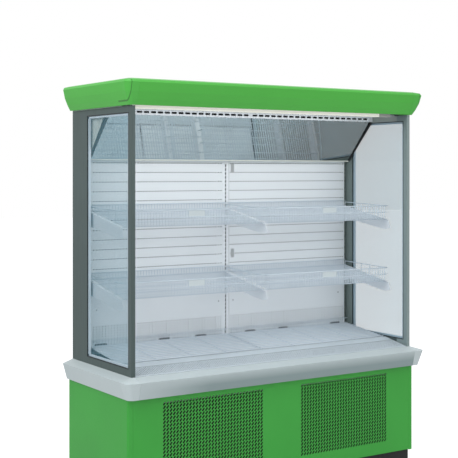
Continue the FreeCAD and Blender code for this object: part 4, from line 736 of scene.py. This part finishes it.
# %% The grille's seam and rear seal
seam_y = high.y - 0.060
seam_z = low.z + (seam_y - low.y) / (high.y - low.y) * (high.z - low.z)
seam = start_rod("grille_seam", (low.x + 0.002, seam_y, seam_z), (high.x - 0.002, seam_y, seam_z), 0.0011, 6)
fit(seam, "inlet_grille", finishes["black_plastic"], "black_plastic")
seal = start_block("grille_seal", (low.x + 0.001, high.y - 0.0015, high.z - 0.0052),
                   (high.x - 0.001, high.y + 0.0028, high.z - 0.0006))
fit(seal, "inlet_grille", finishes["black_plastic"], "black_plastic")

# %% [markdown]
# ## Back panels
# The upper panels are folded sheet with a row of fine slots every 48 mm. The lower ones have a
# closely punched band where the cold air comes out over the deck, three finger openings under it
# and one more row of holes. One row is punched and copied up the panel; strips with different
# punches are stacked and their meeting edges are merged.

# %% Upper back panels
low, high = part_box("upper_back_panels")
SPLIT = 0.021
ROW_PITCH, ROW_TOP, ROWS = 0.0483, 1.6218, 13
COLUMNS = 47
last = ROW_TOP + ROW_PITCH / 2
first = last - ROWS * ROW_PITCH
for side, end in ((-1, "left"), (1, "right")):
    inner, outer = sorted((side * SPLIT, side * high.x))
    left, right = (inner + 0.004, outer - 0.001) if side < 0 else (inner + 0.001, outer - 0.004)
    panel = punched_sheet(f"back_sheet_upper_{end}", (left, first, right, last), (inner, low.z, outer, last),
                          COLUMNS, ROWS, (0.0096, 0.0048), lean=90)
    bpy.ops.object.mode_set(mode="EDIT")
    bpy.ops.mesh.select_all(action="SELECT")
    bpy.ops.mesh.bisect(plane_co=(0, 0, high.z), plane_no=(0, 0, 1), clear_outer=True)
    bpy.ops.object.mode_set(mode="OBJECT")
    panel.location = (0, low.y, 0)
    settle(panel)
    outward(panel)
    thicken(panel, GAUGE)
    stands_for = ["upper_back_panels"] if side < 0 else []
    fit(panel, "cabinet", finishes["liner_white"], "liner_white", *stands_for)

# %% Values of the lower back panels
upper_low, upper_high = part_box("upper_back_panels")
low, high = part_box("lower_back_panels")
front, panel_end = upper_low.y, upper_high.x
BAND_PUNCH, FINGER_PUNCH = (0.0080, 0.0046), (0.070, 0.0125)
BAND_FOOT, BAND_LOW, BAND_HIGH, BAND_ROWS = 0.7065, 0.72275, 0.81025, 7
# Along the foot of the band, from the middle out: where a strip starts and stops, and how many
# small holes are in it. A strip without any has one finger opening.
FOOT = ((0.024, 0.108, 5), (0.108, 0.208, 0), (0.208, 0.329, 7),
        (0.329, 0.429, 0), (0.429, 0.691, 16), (0.691, 0.791, 0))
print("lower panels:", round(low.z, 4), "to", round(high.z, 4), "front at", round(front, 4))

# %% Lower back panels
for side, end in ((-1, "left"), (1, "right")):
    inner, outer = sorted((side * SPLIT, side * panel_end))
    field = (inner + 0.003, BAND_LOW, outer - 0.003, BAND_HIGH)
    sheet = (inner, BAND_LOW, outer, high.z)
    strips = [punched_sheet("band", field, sheet, COLUMNS, BAND_ROWS, BAND_PUNCH, lean=90)]
    for start, stop, holes in FOOT:
        left, right = sorted((side * start, side * stop))
        field = (left, BAND_FOOT, right, BAND_LOW)
        sheet = (left, low.z, right, BAND_LOW)
        if holes:
            strips.append(punched_sheet("band_foot", field, sheet, holes, 1, BAND_PUNCH, lean=90))
        else:
            strips.append(punched_sheet("finger_hole", field, sheet, 1, 1, FINGER_PUNCH, lean=90, points=16))
    for start, stop in ((SPLIT, FOOT[0][0]), (FOOT[-1][1], panel_end)):
        left, right = sorted((side * start, side * stop))
        end_strip = start_block("band_end", (left, 0, low.z), (right, 0.0001, BAND_LOW))
        bpy.ops.object.mode_set(mode="EDIT")
        select_faces(lambda at, normal: normal.y > -0.9)
        bpy.ops.mesh.delete(type="FACE")
        bpy.ops.object.mode_set(mode="OBJECT")
        strips.append(end_strip)
    panel = join(f"back_sheet_lower_{end}", strips)
    panel.location = (0, front, 0)
    settle(panel)
    outward(panel)
    thicken(panel, GAUGE)
    stands_for = ["lower_back_panels"] if side < 0 else []
    fit(panel, "cabinet", finishes["liner_white"], "liner_white", *stands_for)

# %% Ledge for the racks
LEDGE_LOW, LEDGE_HIGH = 0.7053, 0.7068
ledge = start_block("rack_ledge", (low.x, low.y, LEDGE_LOW), (high.x, front - 0.0002, LEDGE_HIGH))


def at_rear_foot(point):
    return point.y > front - 0.001 and point.z < (LEDGE_LOW + LEDGE_HIGH) / 2


bpy.ops.object.mode_set(mode="EDIT")
select_edges(lambda a, b: at_rear_foot(a) and at_rear_foot(b) and abs(a.x - b.x) > 1)
bpy.ops.mesh.extrude_region_move(TRANSFORM_OT_translate={"value": (0, 0, -0.0165)})
bpy.ops.object.mode_set(mode="OBJECT")
fit(ledge, "cabinet", finishes["liner_white"], "liner_white")

# %% Duct spacers, latches and screws
WALL = 0.2832
spacers, latches, screws = [], [], []
for side in (-1, 1):
    for middle in (0.158, 0.379, 0.741):
        for x in (side * middle - 0.045, side * middle + 0.045):
            near, far = (x - 0.015, front + GAUGE + 0.0003, 0.744), (x + 0.015, WALL, 0.806)
            spacers.append(start_block("spacer", near, far))
    for x in (side * 0.046, side * 0.765):
        screw = start_rod("screw", (x, front - 0.0016, 0.888), (x, front + 0.001, 0.888), 0.0048, 12)
        screws.append(soften(screw, 0.0008))
for z in (1.597, 1.141):
    latch = start_block("latch", (0.0310, front - 0.0016, z - 0.024), (0.0530, front, z + 0.024))
    latches.append(soften(latch, 0.0006))
fit(join("duct_spacers", spacers), "cabinet", finishes["black_plastic"], "black_plastic")
fit(join("panel_latches", latches), "cabinet", finishes["control_grey"], "control_grey")
fit(smooth(join("panel_screws", screws), 30), "cabinet", finishes["galvanised"], "galvanised")

# %% Glazing spacers and gaskets
# Double panes are kept apart by an aluminium bar all round, seen through the glass at its edges,
# and a black gasket holds each face. Strips are (low y, high y, low z, high z).
BAR_STRIPS = ((0.1650, 0.1740, 0.6735, 1.8495), (-0.2490, -0.2400, 0.6735, 1.8495),
              (-0.2490, 0.1740, 0.6775, 0.6865), (-0.2490, 0.1740, 1.8365, 1.8455))
GASKET_STRIPS = ((0.1745, 0.1785, 0.6730, 1.8500), (-0.2535, -0.2495, 0.6730, 1.8500),
                 (-0.2535, 0.1785, 0.6730, 0.6770), (-0.2535, 0.1785, 1.8460, 1.8500))


def strips_round(name, strips, side, near, far):
    """Blocks along the four edges of one pane, between two distances from the middle."""
    inner, outer = sorted((side * near, side * far))
    return [start_block(name, (inner, low_y, low_z), (outer, high_y, high_z))
            for low_y, high_y, low_z, high_z in strips]


bars, gaskets = [], []
for side in (-1, 1):
    bars += strips_round("bar", BAR_STRIPS, side, 0.8285, 0.8395)
    for face in (0.8251, 0.8429):
        gaskets += strips_round("gasket", GASKET_STRIPS, side, face - 0.0008, face + 0.0008)
fit(join("glazing_spacers", bars), "cabinet", finishes["shelf_wire"], "bar_aluminium")
fit(join("glazing_gaskets", gaskets), "cabinet", finishes["black_plastic"], "black_plastic")

# %% Seals at the ends of the mirror
low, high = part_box("mirror_panel")
seals = []
for x in (-(high.x - 0.001), high.x - 0.001):
    head, foot = (x, low.y - 0.002, high.z - 0.006), (x, high.y - 0.005, low.z + 0.001)
    seals.append(start_rod("seal", head, foot, 0.0052))
fit(join("mirror_seals", seals), "cabinet", finishes["black_plastic"], "black_plastic")

# %% Plates that close the room behind the mirror
# Each starts as a block; its front lower edge goes back to lie along the slope of the mirror.
MIRROR_RUN = 0.198
plates = []
for side in (-1, 1):
    inner, outer = sorted((side * 0.8188, side * 0.8203))
    plate = start_block("plate", (inner, 0.0125, 1.6408), (outer, WALL, 1.8790))
    bpy.ops.object.mode_set(mode="EDIT")
    select_points(lambda co: co.y < 0.1 and co.z < 1.7)
    bpy.ops.transform.translate(value=(0, MIRROR_RUN, 0))
    bpy.ops.object.mode_set(mode="OBJECT")
    plates.append(plate)
fit(join("mirror_end_plates", plates), "cabinet", finishes["trim_cream"], "trim_cream")

# %% [markdown]
# ## Uprights
# Each upright is a channel with a ladder of hook slots down its face. The middle one is white like
# the panels; the two at the ends are in the colour of the end frames.

# %% Uprights
low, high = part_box("shelf_uprights")
HOOK_PITCH, HOOK_ROWS = 0.021125, 44
HOOK_FOOT, HOOK_HALF = 0.6905, 0.0052
for name, inner, outer, slot in (("upright_middle", -0.020, 0.020, "liner_white"),
                                 ("upright_left", -0.8225, -0.8105, "end_frame_grey"),
                                 ("upright_right", 0.8105, 0.8225, "end_frame_grey")):
    middle = (inner + outer) / 2
    field = (middle - HOOK_HALF, HOOK_FOOT, middle + HOOK_HALF, HOOK_FOOT + HOOK_ROWS * HOOK_PITCH)
    face = punched_sheet(name, field, (inner, low.z, outer, high.z), 1, HOOK_ROWS, (0.0145, 0.0084))
    face.location = (0, low.y, 0)
    settle(face)
    bpy.ops.object.mode_set(mode="EDIT")
    for at in (inner, outer):
        pull_edges(0, at, (0, high.y - low.y, 0))
    bpy.ops.object.mode_set(mode="OBJECT")
    outward(face)
    thicken(face, GAUGE)
    fit(face, "cabinet", finishes[slot], slot, *(["shelf_uprights"] if name == "upright_middle" else []))

# %% [markdown]
# ## Air outlet
# The cold air curtain starts at a strip under the roof with twenty slots in each half.

# %% Air outlet
low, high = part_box("air_outlet")
SLOTS, SLOTS_X, SLOTS_Z = 20, (0.0078, 0.7878), (1.8595, 1.8765)
halves = []
for side in (-1, 1):
    inner, outer = sorted(side * x for x in SLOTS_X)
    left, right = sorted((0, side * high.x))
    field = (inner, SLOTS_Z[0], outer, SLOTS_Z[1])
    sheet = (left, low.z, right, high.z)
    halves.append(punched_sheet("outlet_half", field, sheet, SLOTS, 1, (0.031, 0.011), lean=90))
outlet = join("air_outlet_sheet", halves)
outlet.location = (0, low.y, 0)
settle(outlet)
bpy.ops.object.mode_set(mode="EDIT")
bpy.ops.mesh.select_all(action="SELECT")
bpy.ops.mesh.remove_doubles(threshold=TOUCH)
pull_edges(2, low.z, (0, high.y - low.y, 0))
bpy.ops.object.mode_set(mode="OBJECT")
outward(outlet)
thicken(outlet, GAUGE)
fit(outlet, "cabinet", finishes[slot_of["air_outlet"]], slot_of["air_outlet"], "air_outlet")

# %% [markdown]
# ## Wire shelves
# Each shelf is a welded tray. Nearly fifty thin ribs run from the rear stop down over the sloping
# floor and up the front fence in one bent piece; thicker wires from side to side carry them. One
# rib is drawn as a line, thickened and copied along the shelf, and every cross wire is a rod with
# rounded ends.

# %% Wire helpers
BEND = 0.004


def bent_wire(name, points, radius):
    """A wire along straight runs, its corners rounded by a short chamfer, as one mesh."""
    places = [Vector(points[0])]
    for before, here, after in zip(points, points[1:], points[2:]):
        before, here, after = Vector(before), Vector(here), Vector(after)
        back, on = (before - here).normalized(), (after - here).normalized()
        places += [here + back * BEND, here + (back + on) * BEND * 0.22, here + on * BEND]
    places.append(Vector(points[-1]))
    deselect_all()
    line = bpy.data.curves.new(name, "CURVE")
    line.dimensions = "3D"
    line.bevel_depth = radius
    line.bevel_resolution = 1
    line.use_fill_caps = True
    spline = line.splines.new("POLY")
    spline.points.add(len(places) - 1)
    for point, place in zip(spline.points, places):
        point.co = (*place, 1)
    wire = bpy.data.objects.new(name, line)
    bpy.context.collection.objects.link(wire)
    choose(wire)
    bpy.ops.object.convert(target="MESH")
    return bpy.context.object


# %% Cross wires and the row of ribs
RIB, CARRIER = 0.0018, 0.0022
RIB_PITCH = 0.0160
INSET = 0.001


def cross_wire(name, low, high, y, z, radius=CARRIER):
    """A rod from one end of a shelf's box to the other, with softened ends."""
    rod = start_rod(name, (low.x + INSET, y, z), (high.x - INSET, y, z), radius)
    return soften(rod, radius * 0.35, 60)


def rib_row(low, high):
    """How many ribs stand in a shelf's box, and where along X the first one is."""
    count = int((high.x - low.x - 0.010) / RIB_PITCH)
    return count, (low.x + high.x) / 2 - RIB_PITCH * (count - 1) / 2


# %% Shelves
# The floor rises towards the back; the fence stands in front of it and the stop behind it.
FRONT, BACK = -0.1365, 0.2265
RISE, FENCE, STOP = 0.067, 0.080, 0.034
LIFT = 0.0045
for tier in ("upper", "lower"):
    for end in ("left", "right"):
        node = f"wire_shelf_{tier}_{end}"
        low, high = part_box(node)
        base = low.z
        fence_top, floor_back, stop_top = base + FENCE, base + RISE, base + RISE + STOP
        count, x = rib_row(low, high)
        rear, fore = BACK + RIB, FRONT - RIB
        run = [(x, rear, stop_top - 0.001), (x, rear, floor_back + LIFT),
               (x, fore, base + LIFT), (x, fore, fence_top - 0.0015)]
        rib = bent_wire(node + "_rib", run, RIB)
        wires = [repeat(rib, count, (RIB_PITCH, 0, 0))]
        for share in (0.0, 0.25, 0.5, 0.75, 1.0):
            y = FRONT + 0.006 + share * (BACK - FRONT - 0.012)
            z = base + (y - FRONT) / (BACK - FRONT) * RISE + CARRIER
            wires.append(cross_wire("carrier", low, high, y, z))
        wires.append(cross_wire("fence_wire", low, high, FRONT - 0.0005, base + 0.042))
        wires.append(cross_wire("fence_wire", low, high, FRONT - 0.0005, fence_top - 0.0030, 0.0030))
        wires.append(cross_wire("stop_wire", low, high, BACK + 0.0005, stop_top - 0.003))
        for x in (low.x + CARRIER, high.x - CARRIER):
            head = fence_top - 0.0028
            run = [(x, FRONT, head), (x, BACK, head + 0.012), (x, BACK, floor_back + LIFT)]
            wires.append(bent_wire("end_wire", run, CARRIER))
            for share in (0.2, 0.4, 0.6):
                y = FRONT + share * (BACK - FRONT)
                foot, tip = (x, y, base + share * RISE + 0.002), (x, y, fence_top - 0.003 + 0.012 * share)
                wires.append(start_rod("end_rib", foot, tip, RIB, 6))
        shelf = join(f"shelf_wires_{tier}_{end}", wires)
        smooth(shelf, 50)
        fit(shelf, f"shelf_{tier}_{end}", finishes["shelf_wire"], "shelf_wire", node)

# %% [markdown]
# ## Label holders
# A short extruded clip hangs on each fence for a price card. It is a plate with its top and bottom
# edges rolled forward, so it starts as a thin block whose front face is inset and pushed back.

# %% Label holders
CLIP_X, CLIP_HALF = 0.410, 0.045
CLIP_FRONT, CLIP_BACK = -0.1412, -0.1402
for tier in ("upper", "lower"):
    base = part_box(f"wire_shelf_{tier}_left")[0].z
    for end, x in (("left", -CLIP_X), ("right", CLIP_X)):
        clip = start_block(f"label_holder_{tier}_{end}", (x - CLIP_HALF, CLIP_FRONT, base + 0.047),
                           (x + CLIP_HALF, CLIP_BACK, base + 0.074))
        bpy.ops.object.mode_set(mode="EDIT")
        select_faces(lambda at, normal: normal.y < -0.9)
        bpy.ops.mesh.inset(thickness=0.0028, use_boundary=True)
        bpy.ops.transform.translate(value=(0, 0.0006, 0))
        bpy.ops.object.mode_set(mode="OBJECT")
        soften(clip, 0.0002)
        fit(clip, f"shelf_{tier}_{end}", finishes["label_clear"], "shelf_white")

# %% [markdown]
# ## Deck racks
# The two racks on the deck have their long wires from side to side, so goods slide along them, with
# a few carriers under them and a low upright rail of fine ribs at the back. A thin pan lies under
# the wires.

# %% Deck racks
DECK_FRONT, DECK_BACK = -0.1065, 0.2085
DECK_RISE, DECK_STOP = 0.038, 0.033
LONG_WIRES, CARRIERS = 13, 5
for end in ("left", "right"):
    node = f"deck_grid_{end}"
    low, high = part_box(node)
    base = low.z
    wires = []
    for index in range(LONG_WIRES):
        share = index / (LONG_WIRES - 1)
        y = DECK_FRONT + 0.003 + share * (DECK_BACK - DECK_FRONT - 0.006)
        radius = 0.0024 if index else 0.0028
        wires.append(cross_wire("long_wire", low, high, y, base + share * DECK_RISE + 0.0058, radius))
    for index in range(CARRIERS):
        x = low.x + 0.004 + index * (high.x - low.x - 0.008) / (CARRIERS - 1)
        front_end, back_end = (x, DECK_FRONT, base + 0.0024), (x, DECK_BACK, base + DECK_RISE + 0.0024)
        wires.append(start_rod("carrier", front_end, back_end, CARRIER))
    count, x = rib_row(low, high)
    y, floor_back = DECK_BACK + RIB, base + DECK_RISE
    rib = start_rod("stop_rib", (x, y, floor_back + 0.002), (x, y, floor_back + DECK_STOP), RIB, 6)
    wires.append(repeat(rib, count, (RIB_PITCH, 0, 0)))
    wires.append(cross_wire("stop_wire", low, high, DECK_BACK + 0.0004, floor_back + DECK_STOP))
    pan = start_block(f"deck_pan_{end}", (low.x + INSET, DECK_FRONT, base + 0.0004),
                      (high.x - INSET, DECK_BACK, base + 0.0014))
    bpy.ops.object.mode_set(mode="EDIT")
    select_points(lambda co: co.y > 0)
    bpy.ops.transform.translate(value=(0, 0, DECK_RISE))
    bpy.ops.object.mode_set(mode="OBJECT")
    fit(pan, f"rack_{end}", finishes["liner_white"], "liner_white")
    rack = join(f"rack_wires_{end}", wires)
    smooth(rack, 50)
    fit(rack, f"rack_{end}", finishes["shelf_wire"], "shelf_wire", node)

# %% [markdown]
# ## Night curtain
# The curtain is wound on a roller behind the cornice, and a short stretch of it hangs down to the
# pull bar, which is parked under the roller. The roll is one round of cloth on its roller; the
# hanging stretch is a thin sheet in the strip's place, from the bar up to the cabinet.

# %% Roller
low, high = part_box("curtain_roll")
axis = (low + high) / 2
CLOTH_END, ROLLER_END = 0.7995, 0.8128
core = start_rod("curtain_roller", (-ROLLER_END, axis.y, axis.z), (ROLLER_END, axis.y, axis.z), 0.0049, 16)
cloth = start_rod("roll_cloth", (-CLOTH_END, axis.y, axis.z), (CLOTH_END, axis.y, axis.z), 0.0196, 32)
bpy.ops.object.mode_set(mode="EDIT")
select_faces(lambda at, normal: abs(normal.x) > 0.9)
bpy.ops.mesh.inset(thickness=0.011)
bpy.ops.object.mode_set(mode="OBJECT")
roll = join("curtain_roll_cloth", [cloth, core])
smooth(roll)
fit(roll, "roller", finishes["curtain_cloth"], "curtain_cloth", "curtain_roll")

# %% Hanging stretch
low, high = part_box("curtain_strip")
flat = (high.x - low.x - 0.001, high.z - low.z)
deselect_all()
bpy.ops.mesh.primitive_grid_add(x_subdivisions=80, y_subdivisions=4, size=1, location=(low + high) / 2,
                                rotation=(math.radians(90), 0, 0))
strip = bpy.context.object
strip.name = strip.data.name = "curtain_cloth_strip"
strip.scale = (*flat, 1)
settle(strip)
thicken(strip, 0.0005, 0)
strip.data.materials.append(finishes["curtain_cloth"])
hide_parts("curtain_strip")
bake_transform(strip)
print("strip:", [round(x, 4) for x in flat])

# %% [markdown]
# ## Floor, light and finish
# A plain floor keeps the cabinet's shadow and goes to white behind it, as the cut-out photograph
# does. Three large soft lamps, the weak tube in the canopy and an even surround light the case at a
# level at which a colour comes out about as it is written.

# %% Floor
deselect_all()
bpy.ops.mesh.primitive_plane_add(size=60)
floor = bpy.context.object
floor.name = "studio_floor"
floor_finish = Finish("studio_floor", (0.62, 0.62, 0.63, 1), 0.9)
floor_finish.over((0.60, 0.60, 0.61, 1), floor_finish.ramp(floor_finish.noise(1.5, 3), 0.4, 0.8))
glow = floor_finish.product(floor_finish.node("LightPath").outputs["Is Camera Ray"], 0.7)
floor_finish.shader.inputs["Emission Color"].default_value = (1, 1, 1, 1)
floor_finish.link(glow, floor_finish.shader.inputs["Emission Strength"])
floor.data.materials.append(floor_finish.material)

# %% Surround
world = bpy.data.worlds.new("studio")
bpy.context.scene.world = world
world.use_nodes = True
tree = world.node_tree
background = tree.nodes["Background"]
path = tree.nodes.new("ShaderNodeLightPath")
level = tree.nodes.new("ShaderNodeMapRange")
level.inputs["To Min"].default_value = 0.68
level.inputs["To Max"].default_value = 1.0
tree.links.new(path.outputs["Is Camera Ray"], level.inputs["Value"])
background.inputs["Color"].default_value = (1, 1, 1, 1)
tree.links.new(level.outputs["Result"], background.inputs["Strength"])


# %% Lamps
def soft_lamp(name, place, aim, size, power):
    """An area lamp at a place, turned to another."""
    deselect_all()
    turn = (Vector(aim) - Vector(place)).to_track_quat("-Z", "Y").to_euler()
    bpy.ops.object.light_add(type="AREA", location=place, rotation=turn)
    lamp = bpy.context.object
    lamp.name = name
    lamp.data.shape = "RECTANGLE"
    lamp.data.size, lamp.data.size_y = size
    lamp.data.energy = power
    return lamp


soft_lamp("lamp_left", (-4.5, -1.5, 3.6), (0, 0, 1.0), (3, 3), 92)
soft_lamp("lamp_front", (1.5, -5.5, 3.0), (0, 0, 1.0), (3, 3), 60)
soft_lamp("lamp_above", (0, 0.2, 5.2), (0, 0, 1.0), (4, 3), 70)
canopy_lamp = soft_lamp("lamp_in_canopy", (-0.06, -0.204, 1.866), (-0.06, 0.1, 0.9), (1.45, 0.03), 1.3)
canopy_lamp.visible_camera = False

# %% Measure and finish
print("faces in the new pieces:", sum(made.values()))
